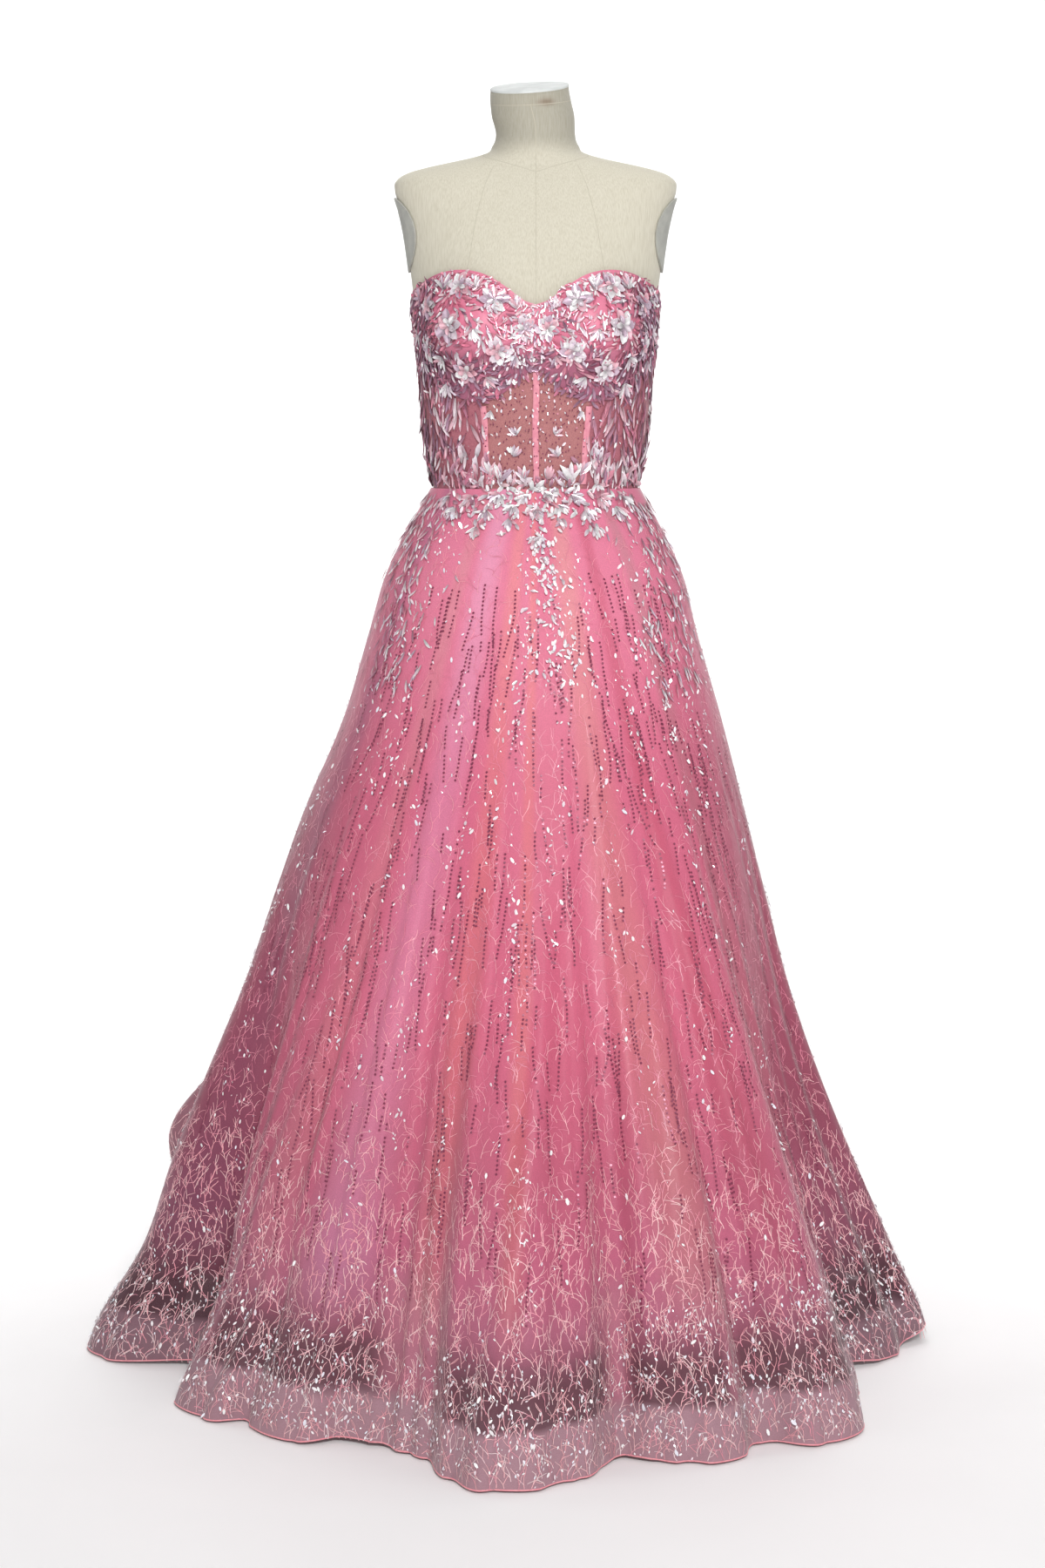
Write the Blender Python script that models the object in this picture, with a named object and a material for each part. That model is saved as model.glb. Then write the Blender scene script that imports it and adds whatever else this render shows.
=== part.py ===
"""Strapless ball gown on a limbless dress form.

Metres, +Z up. The front of the gown faces -Y, and the origin is on the floor under
the form's pole. Around the gown a place is given by its angle, in degrees from the
front towards +X, and by its height. The form is one smooth body through sections,
the bodice follows it at a small clearance, and the skirts hang from the waist ring
with their own spread and folds."""

import math
from collections import namedtuple

import bpy
import numpy as np

# Heights
WAIST_Z = 1.100
TORSO_BOTTOM_Z = 0.800
NECK_TOP_Z = 1.597
NET_HEM_Z = 0.004
UNDERNET_HEM_Z = 0.135
LINING_HEM_Z = 0.105
HORSEHAIR_WIDTH = 0.060

# Cloth walls and the gaps between them
SEAM_GAP = 0.0003
FORM_CLEARANCE = 0.0011
CUP_CLEARANCE = 0.0016
PLATE_CLEARANCE = 0.0009
CUP_WALL = 0.0030
BODICE_WALL = 0.0016
LINING_WALL = 0.0012
UNDERNET_WALL = 0.0010
NET_WALL = 0.0015
HORSEHAIR_WALL = 0.0010
APPLIQUE_WALL = 0.0015
LAYER_GAP = 0.0004

# Seams of the gown, degrees from centre front
BONE_ANGLE = 36.0
BODICE_SIDE_SEAM = 80.0
SKIRT_SIDE_SEAM = 93.0
BONE_WIDTH = 0.007
BONE_WALL = 0.0013

# How the lining hangs inside the net
LINING_SHARE = 0.55
LINING_INSET = 0.058
UNDERNET_INSET = 0.033
HUMP_ROUNDNESS = 2.4
HEM_KICK = 0.012
HEM_KICK_HEIGHT = 0.10

# Boards over the form's armholes
PLATE_Z = 1.412
PLATE_HALF_HEIGHT = 0.046
PLATE_HALF_ANGLE = 17.0
PLATE_THICKNESS = 0.0022

# Stand
POLE_RADIUS = 0.016
HUB_RADIUS = 0.034
HUB_HEIGHT = 0.055
BASE_RADIUS = 0.190
BASE_THICKNESS = 0.012

# Zip slider and its pull tab, at centre back
SLIDER_WIDTH = 0.0090
SLIDER_HEIGHT = 0.0120
SLIDER_DEPTH = 0.0028
EAR_THICKNESS = 0.0016
PIN_RADIUS = 0.0007
EYE_RADIUS = 0.0018
EYE_CLEARANCE = 0.0004
BORE_CLEARANCE = 0.0003
EAR_OVER_PIN = 0.0008
TAB_LENGTH = 0.022
TAB_WIDTH = 0.0046
TAB_THICKNESS = 0.0012
SLIDER_BELOW_EDGE = 0.016

# The form: half width, depth to the front and to the back, and how square a section is
BodySection = namedtuple("BodySection", "z half_width front back square")
BODY = (
    BodySection(0.800, 0.152, 0.104, 0.112, 2.2),
    BodySection(0.890, 0.166, 0.112, 0.128, 2.1),
    BodySection(0.960, 0.160, 0.108, 0.122, 2.1),
    BodySection(1.030, 0.140, 0.098, 0.100, 2.0),
    BodySection(1.100, 0.1255, 0.088, 0.084, 2.0),
    BodySection(1.140, 0.1325, 0.091, 0.086, 2.0),
    BodySection(1.180, 0.1375, 0.095, 0.089, 2.0),
    BodySection(1.240, 0.1420, 0.100, 0.093, 2.0),
    BodySection(1.290, 0.1470, 0.104, 0.097, 2.0),
    BodySection(1.330, 0.1510, 0.104, 0.100, 2.0),
    BodySection(1.376, 0.1565, 0.099, 0.101, 2.1),
    BodySection(1.420, 0.1630, 0.088, 0.098, 2.3),
    BodySection(1.450, 0.1700, 0.077, 0.091, 2.5),
    BodySection(1.466, 0.1745, 0.070, 0.084, 2.5),
    BodySection(1.478, 0.1700, 0.065, 0.078, 2.4),
    BodySection(1.488, 0.1540, 0.061, 0.072, 2.2),
    BodySection(1.497, 0.1260, 0.058, 0.067, 2.1),
    BodySection(1.505, 0.0950, 0.056, 0.063, 2.0),
    BodySection(1.513, 0.0700, 0.055, 0.060, 2.0),
    BodySection(1.524, 0.0555, 0.054, 0.057, 2.0),
    BodySection(1.560, 0.0515, 0.053, 0.052, 2.0),
    BodySection(1.597, 0.0475, 0.053, 0.047, 2.0),
)

# Rows of the torso between its sections, closest over the bust
TORSO_COLUMNS = 44
TORSO_EXTRA_ROWS = (1.065, 1.120, 1.160, 1.210, 1.225, 1.265, 1.310, 1.352)

# The bust: two soft rises on the form
BUST_ANGLE = 37.0
BUST_SPREAD = 24.0
BUST_RISE = 0.031
BUST_Z = 1.288
BUST_ABOVE = 0.062
BUST_BELOW = 0.050

# The neck leans a little to one side, and its cut top slopes down towards the front
NECK_TILT_START_Z = 1.530
NECK_TILT_FRONT = 0.30
NECK_TILT_SIDE = 0.06
NECK_SHIFT = -0.0075

# Top edge of the bodice and lower edge of the cups
EdgePoint = namedtuple("EdgePoint", "angle z")
TOP_EDGE = (
    EdgePoint(0, 1.3215),
    EdgePoint(8, 1.3265),
    EdgePoint(18, 1.3410),
    EdgePoint(30, 1.3560),
    EdgePoint(44, 1.3630),
    EdgePoint(58, 1.3600),
    EdgePoint(70, 1.3500),
    EdgePoint(80, 1.3420),
    EdgePoint(100, 1.3310),
    EdgePoint(130, 1.3190),
    EdgePoint(180, 1.3100),
)
CUP_EDGE = (
    EdgePoint(0, 1.2480),
    EdgePoint(12, 1.2320),
    EdgePoint(26, 1.2120),
    EdgePoint(38, 1.2070),
    EdgePoint(52, 1.2140),
    EdgePoint(66, 1.2360),
    EdgePoint(80, 1.2560),
)

# How far the net stands out from the waist ring, to each side, the front and the back
Spread = namedtuple("Spread", "z right left front back")
SPREADS = (
    Spread(1.100, 0.000, 0.000, 0.000, 0.000),
    Spread(1.065, 0.019, 0.020, 0.017, 0.026),
    Spread(1.037, 0.034, 0.036, 0.032, 0.052),
    Spread(0.992, 0.054, 0.057, 0.054, 0.088),
    Spread(0.925, 0.071, 0.077, 0.082, 0.130),
    Spread(0.812, 0.104, 0.111, 0.124, 0.190),
    Spread(0.699, 0.133, 0.157, 0.166, 0.250),
    Spread(0.586, 0.158, 0.190, 0.208, 0.310),
    Spread(0.473, 0.180, 0.218, 0.250, 0.372),
    Spread(0.360, 0.210, 0.250, 0.288, 0.438),
    Spread(0.248, 0.247, 0.280, 0.322, 0.510),
    Spread(0.135, 0.290, 0.308, 0.346, 0.580),
    Spread(0.060, 0.318, 0.346, 0.358, 0.628),
    Spread(0.000, 0.328, 0.364, 0.361, 0.650),
)

# Folds of the skirt, round from the left side seam. Each drifts from its top angle to
# its hem angle; a rise below zero is a hollow. Lift raises the hem at that fold.
Fold = namedtuple("Fold", "hem_angle top_angle half_width rise start_z lift")
FOLDS = (
    Fold(-3.0, -2.0, 15.0, 0.086, 0.74, 0.000),
    Fold(-17.5, -14.0, 6.0, -0.014, 0.50, 0.000),
    Fold(-28.0, -22.0, 9.0, -0.022, 0.62, 0.004),
    Fold(-38.0, -31.0, 8.0, 0.012, 0.74, 0.000),
    Fold(-56.0, -42.0, 9.0, 0.022, 0.80, 0.000),
    Fold(-70.5, -60.0, 9.0, -0.070, 0.62, 0.008),
    Fold(-86.0, -76.0, 11.0, 0.072, 0.78, 0.000),
    Fold(-98.0, -93.0, 7.0, -0.030, 0.50, 0.004),
    Fold(-110.0, -105.0, 12.0, 0.066, 0.98, 0.000),
    Fold(-121.0, -119.0, 7.0, -0.028, 0.50, 0.004),
    Fold(-132.0, -126.0, 14.0, 0.102, 0.88, 0.012),
    Fold(-150.0, -148.0, 10.0, -0.042, 0.60, 0.006),
    Fold(-163.0, -160.0, 11.0, 0.055, 0.80, 0.000),
    Fold(179.0, 179.0, 8.0, -0.020, 0.50, 0.004),
    Fold(165.0, 163.0, 10.0, 0.050, 0.84, 0.000),
    Fold(149.0, 148.0, 8.0, -0.032, 0.55, 0.004),
    Fold(135.0, 131.0, 11.0, 0.056, 0.78, 0.000),
    Fold(122.0, 119.0, 7.0, -0.026, 0.50, 0.004),
    Fold(112.0, 105.0, 9.0, 0.036, 0.84, 0.000),
    Fold(102.5, 96.0, 5.5, -0.022, 0.45, 0.004),
    Fold(93.0, 80.0, 9.5, 0.040, 0.74, 0.026),
    Fold(68.0, 61.0, 11.0, -0.062, 0.64, 0.008),
    Fold(44.0, 36.0, 12.0, 0.066, 0.90, 0.000),
    Fold(25.0, 19.0, 11.0, 0.044, 0.80, 0.000),
    Fold(13.5, 11.0, 4.5, -0.010, 0.50, 0.002),
)

# Where the train's net stands out only part of the way down
Bulge = namedtuple("Bulge", "angle z half_width half_height rise")
BULGES = (Bulge(-104.0, 0.245, 14.0, 0.090, 0.032),)

# Heights of the skirt walls' rows above their hems; the layers share the upper ones
NET_ROWS = (1.100, 1.080, 1.050, 0.990, 0.880, 0.740, 0.590, 0.440, 0.300, 0.235, 0.170)
INNER_ROWS = (1.100, 1.080, 1.050, 0.990, 0.880, 0.740, 0.590, 0.440, 0.300)

# Flowers raised on the cups, mirrored to the other cup
Flower = namedtuple("Flower", "angle z radius")
FLOWERS = (
    Flower(8, 1.292, 0.016),
    Flower(24, 1.326, 0.018),
    Flower(22, 1.268, 0.017),
    Flower(42, 1.342, 0.017),
    Flower(43, 1.296, 0.021),
    Flower(40, 1.246, 0.018),
    Flower(61, 1.322, 0.018),
    Flower(62, 1.272, 0.017),
)
FLOWER_RISE = 0.0022
FLOWER_PETALS = 5

# Leaf sprays of the waist applique: how far each hangs below the waist
Spray = namedtuple("Spray", "angle half_width drop")
SPRAYS = (
    Spray(-52, 9, 0.028),
    Spray(-33, 9, 0.046),
    Spray(-16, 8, 0.036),
    Spray(0, 9, 0.078),
    Spray(16, 8, 0.038),
    Spray(33, 9, 0.044),
    Spray(52, 9, 0.026),
)
SPRAY_BAND = 0.022
APPLIQUE_END = 64.0
APPLIQUE_RISE = 0.0012

Finish = namedtuple("Finish", "colour roughness metallic")
FINISHES = {
    "petal_cloth": Finish((0.78, 0.42, 0.50), 0.45, 0.0),
    "sheer_net": Finish((0.50, 0.20, 0.24), 0.60, 0.0),
    "embroidered_net": Finish((0.70, 0.25, 0.33), 0.50, 0.0),
    "plain_net": Finish((0.58, 0.20, 0.28), 0.60, 0.0),
    "pink_satin": Finish((0.80, 0.20, 0.35), 0.35, 0.0),
    "horsehair": Finish((0.48, 0.30, 0.34), 0.40, 0.0),
    "canvas": Finish((0.73, 0.68, 0.55), 0.85, 0.0),
    "cap_board": Finish((0.85, 0.85, 0.82), 0.50, 0.0),
    "plate_board": Finish((0.30, 0.30, 0.31), 0.60, 0.0),
    "stand_steel": Finish((0.06, 0.06, 0.06), 0.40, 0.6),
    "zip_metal": Finish((0.72, 0.45, 0.50), 0.30, 0.8),
}


def clear_scene():
    for thing in list(bpy.data.objects):
        bpy.data.objects.remove(thing, do_unlink=True)


def material(name):
    finish = FINISHES[name]
    made = bpy.data.materials.get(name) or bpy.data.materials.new(name)
    made.use_nodes = True
    shader = made.node_tree.nodes["Principled BSDF"]
    shader.inputs["Base Color"].default_value = (*finish.colour, 1.0)
    shader.inputs["Roughness"].default_value = finish.roughness
    shader.inputs["Metallic"].default_value = finish.metallic
    made.diffuse_color = (*finish.colour, 1.0)
    return made


def add_mesh(name, points, faces, finish, smooth=40.0):
    """One closed object from points and faces."""
    mesh = bpy.data.meshes.new(name)
    mesh.from_pydata([tuple(p) for p in points], [], faces)
    mesh.validate()
    mesh.materials.append(material(finish))
    mesh.shade_smooth()
    mesh.set_sharp_from_angle(angle=math.radians(smooth))
    made = bpy.data.objects.new(name, mesh)
    bpy.context.scene.collection.objects.link(made)
    return made


def column(table, name):
    return np.array([getattr(row, name) for row in table], float)


def curve_through(places, values, at):
    """A smooth curve through a table's points, read at the places asked for."""
    slopes = np.gradient(values, places)
    at = np.clip(at, places[0], places[-1])
    left = np.clip(np.searchsorted(places, at, side="right") - 1, 0, len(places) - 2)
    width = places[left + 1] - places[left]
    t = (at - places[left]) / width
    return (
        values[left] * (1 + 2 * t) * (1 - t) ** 2
        + slopes[left] * width * t * (1 - t) ** 2
        + values[left + 1] * t**2 * (3 - 2 * t)
        + slopes[left + 1] * width * t**2 * (t - 1)
    )


def body_column(name, z):
    return curve_through(column(BODY, "z"), column(BODY, name), z)


def spread_column(name, z):
    rows = SPREADS[::-1]
    return curve_through(column(rows, "z"), column(rows, name), z)


def smooth_step(share):
    share = np.clip(share, 0.0, 1.0)
    return share * share * (3 - 2 * share)


def turn_between(angle, centre):
    """The signed turn from a centre to an angle, the short way round."""
    return (angle - centre + 180.0) % 360.0 - 180.0


def hump(angle, centre, half_width):
    """A rise from 0 to 1 and back over a width of angles, with a round top."""
    turn = np.clip(np.abs(turn_between(angle, centre)) / half_width, 0.0, 1.0)
    return (1 - turn**HUMP_ROUNDNESS) ** 2


def place(angle, radius, z):
    """Points at an angle from the front, a radius and a height."""
    turn = np.radians(angle)
    return np.stack([radius * np.sin(turn), -radius * np.cos(turn), z + 0 * turn], axis=-1)


def oval(angle, side, front, back, square):
    """Radius of an oval section whose front and back depths differ."""
    across = np.abs(np.sin(np.radians(angle)))
    along = np.abs(np.cos(np.radians(angle)))
    depth = np.where(np.cos(np.radians(angle)) > 0, front, back)
    return ((across / side) ** square + (along / depth) ** square) ** (-1.0 / square)


def body_radius(angle, z):
    radius = oval(
        angle,
        body_column("half_width", z),
        body_column("front", z),
        body_column("back", z),
        body_column("square", z),
    )
    reach = np.where(z > BUST_Z, BUST_ABOVE, BUST_BELOW)
    level = np.exp(-(((z - BUST_Z) / reach) ** 2))
    for centre in (-BUST_ANGLE, BUST_ANGLE):
        turn = turn_between(angle, centre) / BUST_SPREAD
        radius = radius + BUST_RISE * level * np.exp(-(turn**2))
    return radius


def body_point(angle, z):
    return place(angle, body_radius(angle, z), z)


def fold_relief(angle, z):
    """How far the folds push the net out or in."""
    relief = 0.0
    for fold in FOLDS:
        fallen = (fold.start_z - z) / fold.start_z
        way_down = np.clip(1 - z / WAIST_Z, 0.0, 1.0)
        centre = fold.top_angle + (fold.hem_angle - fold.top_angle) * way_down
        relief = relief + fold.rise * smooth_step(fallen) * hump(angle, centre, fold.half_width)
    return relief


def bulge_relief(angle, z):
    """How far the net alone stands out at its bulges."""
    relief = 0.0
    for bulge in BULGES:
        level = np.clip(1 - ((z - bulge.z) / bulge.half_height) ** 2, 0.0, 1.0) ** 2
        relief = relief + bulge.rise * level * hump(angle, bulge.angle, bulge.half_width)
    return relief


def hem_height(angle):
    lift = sum(fold.lift * hump(angle, fold.hem_angle, fold.half_width) for fold in FOLDS)
    return NET_HEM_Z + lift


def net_spread(angle, z):
    across = np.sin(np.radians(angle)) ** 2
    right = np.sin(np.radians(angle)) > 0
    front = np.cos(np.radians(angle)) > 0
    side = np.where(right, spread_column("right", z), spread_column("left", z))
    depth = np.where(front, spread_column("front", z), spread_column("back", z))
    kick = HEM_KICK * smooth_step((HEM_KICK_HEIGHT - z) / HEM_KICK_HEIGHT)
    return side * across + depth * (1 - across) + kick


def waist_radius(angle):
    return body_radius(angle, np.full(np.shape(angle), WAIST_Z))


LINING_OUT = FORM_CLEARANCE + LINING_WALL
UNDERNET_OUT = LINING_OUT + LAYER_GAP + UNDERNET_WALL
NET_OUT = UNDERNET_OUT + LAYER_GAP + NET_WALL


def net_point(angle, z):
    """Outer side of the embroidered net."""
    radius = waist_radius(angle) + NET_OUT + net_spread(angle, z)
    return place(angle, radius + fold_relief(angle, z) + bulge_relief(angle, z), z)


def inner_skirt_point(angle, z, waist_offset, inset):
    """Outer side of a skirt inside the net, which has the same folds, but softer."""
    fallen = smooth_step((WAIST_Z - z) / WAIST_Z * 1.6)
    share = 1 - (1 - LINING_SHARE) * inset / LINING_INSET
    radius = waist_radius(angle) + waist_offset + net_spread(angle, z)
    radius = radius - inset * fallen + share * fold_relief(angle, z)
    return place(angle, radius, z)


def lining_point(angle, z):
    return inner_skirt_point(angle, z, LINING_OUT, LINING_INSET)


def undernet_point(angle, z):
    return inner_skirt_point(angle, z, UNDERNET_OUT, UNDERNET_INSET)


def top_edge(angle):
    return curve_through(column(TOP_EDGE, "angle"), column(TOP_EDGE, "z"), np.abs(angle))


def cup_edge(angle):
    return curve_through(column(CUP_EDGE, "angle"), column(CUP_EDGE, "z"), np.abs(angle))


def spray_edge(angle):
    """Height of the waist applique's lower edge."""
    drop = sum(s.drop * hump(angle, s.angle, s.half_width) for s in SPRAYS)
    return WAIST_Z - SPRAY_BAND - drop


def flower_relief(angle, z):
    """Petals raised on a cup: each flower is a low dome with scalloped sides."""
    relief = 0.0 * angle
    for flower in FLOWERS:
        radius = body_radius(np.array(float(flower.angle)), np.array(flower.z))
        across = np.radians(np.abs(angle) - flower.angle) * radius
        up = z - flower.z
        scallop = 0.82 + 0.18 * np.cos(FLOWER_PETALS * np.arctan2(up, across))
        away = np.hypot(across, up) / (flower.radius * scallop)
        relief = np.maximum(relief, FLOWER_RISE * np.clip(1 - away**2, 0, 1) ** 0.5)
    return relief


def leaf_relief(angle, z):
    """Upright leaf strokes raised on the side panels and the waist applique."""
    stroke = np.sin(np.radians(angle) * 44 + z * 60) * np.cos(z * 110 + np.radians(angle) * 9)
    return APPLIQUE_RISE * np.clip(0.35 + stroke, 0, 1)


def surface_normals(surface, angle, z):
    """Outward unit normals of a surface given by angle and height."""
    step = 0.2
    across = surface(angle + step, z) - surface(angle - step, z)
    rise = 0.0008
    up = surface(angle, z + rise) - surface(angle, z - rise)
    normal = np.cross(across, up)
    return normal / np.linalg.norm(normal, axis=-1, keepdims=True)


def grid_faces(columns, rows, closed, start, turned):
    """Faces of a grid of points stored row by row, seen from outside or from inside."""
    faces = []
    for row in range(rows - 1):
        for col in range(columns if closed else columns - 1):
            after = (col + 1) % columns
            upper, lower = start + row * columns, start + (row + 1) * columns
            # Both ways start at one corner, so that a wall's two sides split alike
            if turned:
                faces.append((upper + col, upper + after, lower + after, lower + col))
            else:
                faces.append((upper + col, lower + col, lower + after, upper + after))
    return faces


def rim_faces(path, offset):
    """Faces that join a path of outer points to the matching inner points."""
    return [(a, b, b + offset, a + offset) for a, b in zip(path, path[1:])]


def add_wall(name, outer, inner, finish, closed=False):
    """A closed wall between two matching grids, whose rows run from the top down."""
    rows, columns = outer.shape[:2]
    offset = rows * columns
    points = np.concatenate([outer.reshape(-1, 3), inner.reshape(-1, 3)])
    faces = grid_faces(columns, rows, closed, 0, False)
    faces += grid_faces(columns, rows, closed, offset, True)
    top = list(range(columns))
    bottom = [(rows - 1) * columns + col for col in range(columns)]
    if closed:
        top.append(top[0])
        bottom.append(bottom[0])
    else:
        left = [row * columns for row in range(rows)]
        right = [row * columns + columns - 1 for row in range(rows)]
        faces += rim_faces(right, offset)
        faces += rim_faces(left[::-1], offset)
    faces += rim_faces(top, offset)
    faces += rim_faces(bottom[::-1], offset)
    return add_mesh(name, points, faces, finish)


def panel_angles(start, end, columns, radius):
    """Angles of a panel's columns, drawn in from its seams by half a seam gap."""
    trim = math.degrees(0.5 * SEAM_GAP / radius)
    return np.linspace(start + trim, end - trim, columns)


def rows_between(tops, bottoms, rows):
    """Heights of evenly spaced rows, from each column's top to its bottom."""
    return tops + (bottoms - tops) * np.linspace(0, 1, rows)[:, None]


def rows_to_hem(heights, hems):
    """Level rows at the heights given, and then each column's hem."""
    level = np.broadcast_to(np.array(heights)[:, None], (len(heights), len(hems)))
    return np.concatenate([level, hems[None, :]])


def cloth_grid(surface, angles, z, start, thickness, relief=None):
    """Outer and inner grids of a wall that starts at an offset from a surface."""
    angle = np.broadcast_to(angles, z.shape)
    points = surface(angle, z)
    normals = surface_normals(surface, angle, z)
    raised = thickness + (relief(angle, z) if relief else 0.0 * z)
    inner = points + normals * start
    outer = points + normals * (start + raised)[..., None]
    return outer, inner


def bodice_panel(name, start, end, columns, rows, top, bottom, clearance, wall, finish, relief):
    """One bodice panel, from edge to edge, over the form."""
    angles = panel_angles(start, end, columns, 0.10)
    heights = rows_between(top(angles), bottom(angles), rows)
    outer, inner = cloth_grid(body_point, angles, heights, clearance, wall, relief)
    # The lower edge is kept level, so that the wall doesn't reach past its seam
    outer[-1, :, 2] = inner[-1, :, 2]
    outer[0, :, 2] = inner[0, :, 2]
    add_wall(name, outer, inner, finish)


def waist_edge(angle):
    return np.full(np.shape(angle), WAIST_Z + SEAM_GAP)


def below_cup(angle):
    return cup_edge(angle) - SEAM_GAP


def make_bodice():
    for side, sign in (("left", -1), ("right", 1)):
        spans = {
            "bodice_cup": (0, BODICE_SIDE_SEAM, 21, 10, top_edge, cup_edge),
            "midriff_front": (0, BONE_ANGLE, 10, 6, below_cup, waist_edge),
            "midriff_side": (BONE_ANGLE, BODICE_SIDE_SEAM, 12, 6, below_cup, waist_edge),
            "bodice_back": (BODICE_SIDE_SEAM, 180, 14, 8, top_edge, waist_edge),
        }
        looks = {
            "bodice_cup": (CUP_CLEARANCE, CUP_WALL, "petal_cloth", flower_relief),
            "midriff_front": (FORM_CLEARANCE, BODICE_WALL, "sheer_net", None),
            "midriff_side": (FORM_CLEARANCE, BODICE_WALL, "petal_cloth", leaf_relief),
            "bodice_back": (FORM_CLEARANCE, BODICE_WALL, "petal_cloth", None),
        }
        for piece, (start, end, columns, rows, top, bottom) in spans.items():
            first, last = sorted((sign * start, sign * end))
            bodice_panel(
                f"{piece}_{side}", first, last, columns, rows, top, bottom, *looks[piece]
            )


def make_boning():
    """Satin strips over the boning seams, from under the cups to the waist."""
    for name, angle in (("left", -BONE_ANGLE), ("centre", 0.0), ("right", BONE_ANGLE)):
        half = math.degrees(0.5 * BONE_WIDTH / float(waist_radius(np.array(angle))))
        angles = np.linspace(angle - half, angle + half, 3)
        tops = cup_edge(np.full(3, angle)) - 0.006
        bottoms = np.full(3, WAIST_Z + 0.006)
        start = FORM_CLEARANCE + BODICE_WALL + LAYER_GAP
        if angle:
            start += APPLIQUE_RISE
        heights = rows_between(tops, bottoms, 6)
        outer, inner = cloth_grid(body_point, angles, heights, start, BONE_WALL)
        add_wall(f"boning_strip_{name}", outer, inner, "pink_satin")


def skirt_panel(name, surface, angles, heights, start, wall, finish):
    """One gore of a skirt, as a wall that starts at an offset from its surface."""
    outer, inner = cloth_grid(surface, angles, heights, start, wall)
    inner[-1, :, 2] = outer[-1, :, 2]
    add_wall(name, outer, inner, finish)


SKIRT_GORES = (
    ("front", -SKIRT_SIDE_SEAM, SKIRT_SIDE_SEAM, 47),
    ("back_left", -180.0, -SKIRT_SIDE_SEAM, 22),
    ("back_right", SKIRT_SIDE_SEAM, 180.0, 22),
)


def make_net_skirt():
    """The embroidered net in three gores, and the stiff band sewn inside its hem."""
    for name, start, end, columns in SKIRT_GORES:
        angles = panel_angles(start, end, columns, 0.12)
        hems = hem_height(angles)
        band = np.stack([hems + HORSEHAIR_WIDTH, hems])
        heights = np.concatenate([rows_to_hem(NET_ROWS, band[0]), band[1:]])
        skirt_panel(
            f"skirt_net_{name}", net_point, angles, heights, -NET_WALL, NET_WALL, "embroidered_net"
        )
        inset = NET_WALL + LAYER_GAP + HORSEHAIR_WALL
        skirt_panel(
            f"horsehair_hem_{name}", net_point, angles, band, -inset, HORSEHAIR_WALL, "horsehair"
        )


def make_inner_skirts():
    layers = (
        ("undernet", undernet_point, UNDERNET_HEM_Z, UNDERNET_WALL, "plain_net"),
        ("lining", lining_point, LINING_HEM_Z, LINING_WALL, "pink_satin"),
    )
    spans = (
        ("front", -SKIRT_SIDE_SEAM, SKIRT_SIDE_SEAM, 24),
        ("back", SKIRT_SIDE_SEAM, 360.0 - SKIRT_SIDE_SEAM, 22),
    )
    for layer, surface, hem_z, wall, finish in layers:
        for name, start, end, columns in spans:
            angles = panel_angles(start, end, columns, 0.12)
            heights = rows_to_hem(INNER_ROWS, np.full(columns, hem_z))
            skirt_panel(f"{layer}_{name}", surface, angles, heights, -wall, wall, finish)


def make_waist_applique():
    angles = np.linspace(-APPLIQUE_END, APPLIQUE_END, 39)
    heights = rows_between(np.full(len(angles), WAIST_Z - 0.001), spray_edge(angles), 4)
    outer, inner = cloth_grid(
        net_point, angles, heights, LAYER_GAP, APPLIQUE_WALL, leaf_relief
    )
    add_wall("waist_applique", outer, inner, "petal_cloth")


def add_rings(name, rings, finish, smooth=40.0):
    """A closed turned body through rings of equal size, from the top down."""
    rows, columns = rings.shape[:2]
    points = np.concatenate(
        [rings.reshape(-1, 3), [rings[0].mean(axis=0)], [rings[-1].mean(axis=0)]]
    )
    faces = grid_faces(columns, rows, True, 0, False)
    last = (rows - 1) * columns
    for col in range(columns):
        after = (col + 1) % columns
        faces.append((rows * columns, col, after))
        faces.append((rows * columns + 1, last + after, last + col))
    return add_mesh(name, points, faces, finish, smooth)


def neck_tilt(points):
    """Leans the top of the neck, more towards its cut end."""
    way_up = (points[..., 2] - NECK_TILT_START_Z) / (NECK_TOP_Z - NECK_TILT_START_Z)
    way_up = smooth_step(way_up)
    moved = points.copy()
    moved[..., 0] += way_up * NECK_SHIFT
    moved[..., 2] += way_up * NECK_TILT_FRONT * points[..., 1]
    moved[..., 2] += way_up * NECK_TILT_SIDE * points[..., 0]
    return moved


def make_torso():
    """The canvas form: one smooth closed body from the hips to the cut neck."""
    angles = np.arange(TORSO_COLUMNS) * 360.0 / TORSO_COLUMNS
    heights = np.sort(np.concatenate([column(BODY, "z"), TORSO_EXTRA_ROWS]))[::-1]
    angle, z = np.meshgrid(angles, heights)
    add_rings("form_torso", neck_tilt(body_point(angle, z)), "canvas")


def make_neck_cap():
    """A thin board on the cut neck, with the same lean."""
    angles = np.arange(24) * 15.0
    rings = []
    for inset, height in ((0.006, 0.0045), (0.0015, 0.0036), (0.0, 0.0018), (0.0008, 0.0)):
        ring = body_point(angles, np.full(24, NECK_TOP_Z))
        scale = 1 - inset / 0.048
        ring[:, :2] *= scale
        ring = neck_tilt(ring)
        ring[:, 2] += height + SEAM_GAP
        rings.append(ring)
    add_rings("neck_cap", np.array(rings), "cap_board")


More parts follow.
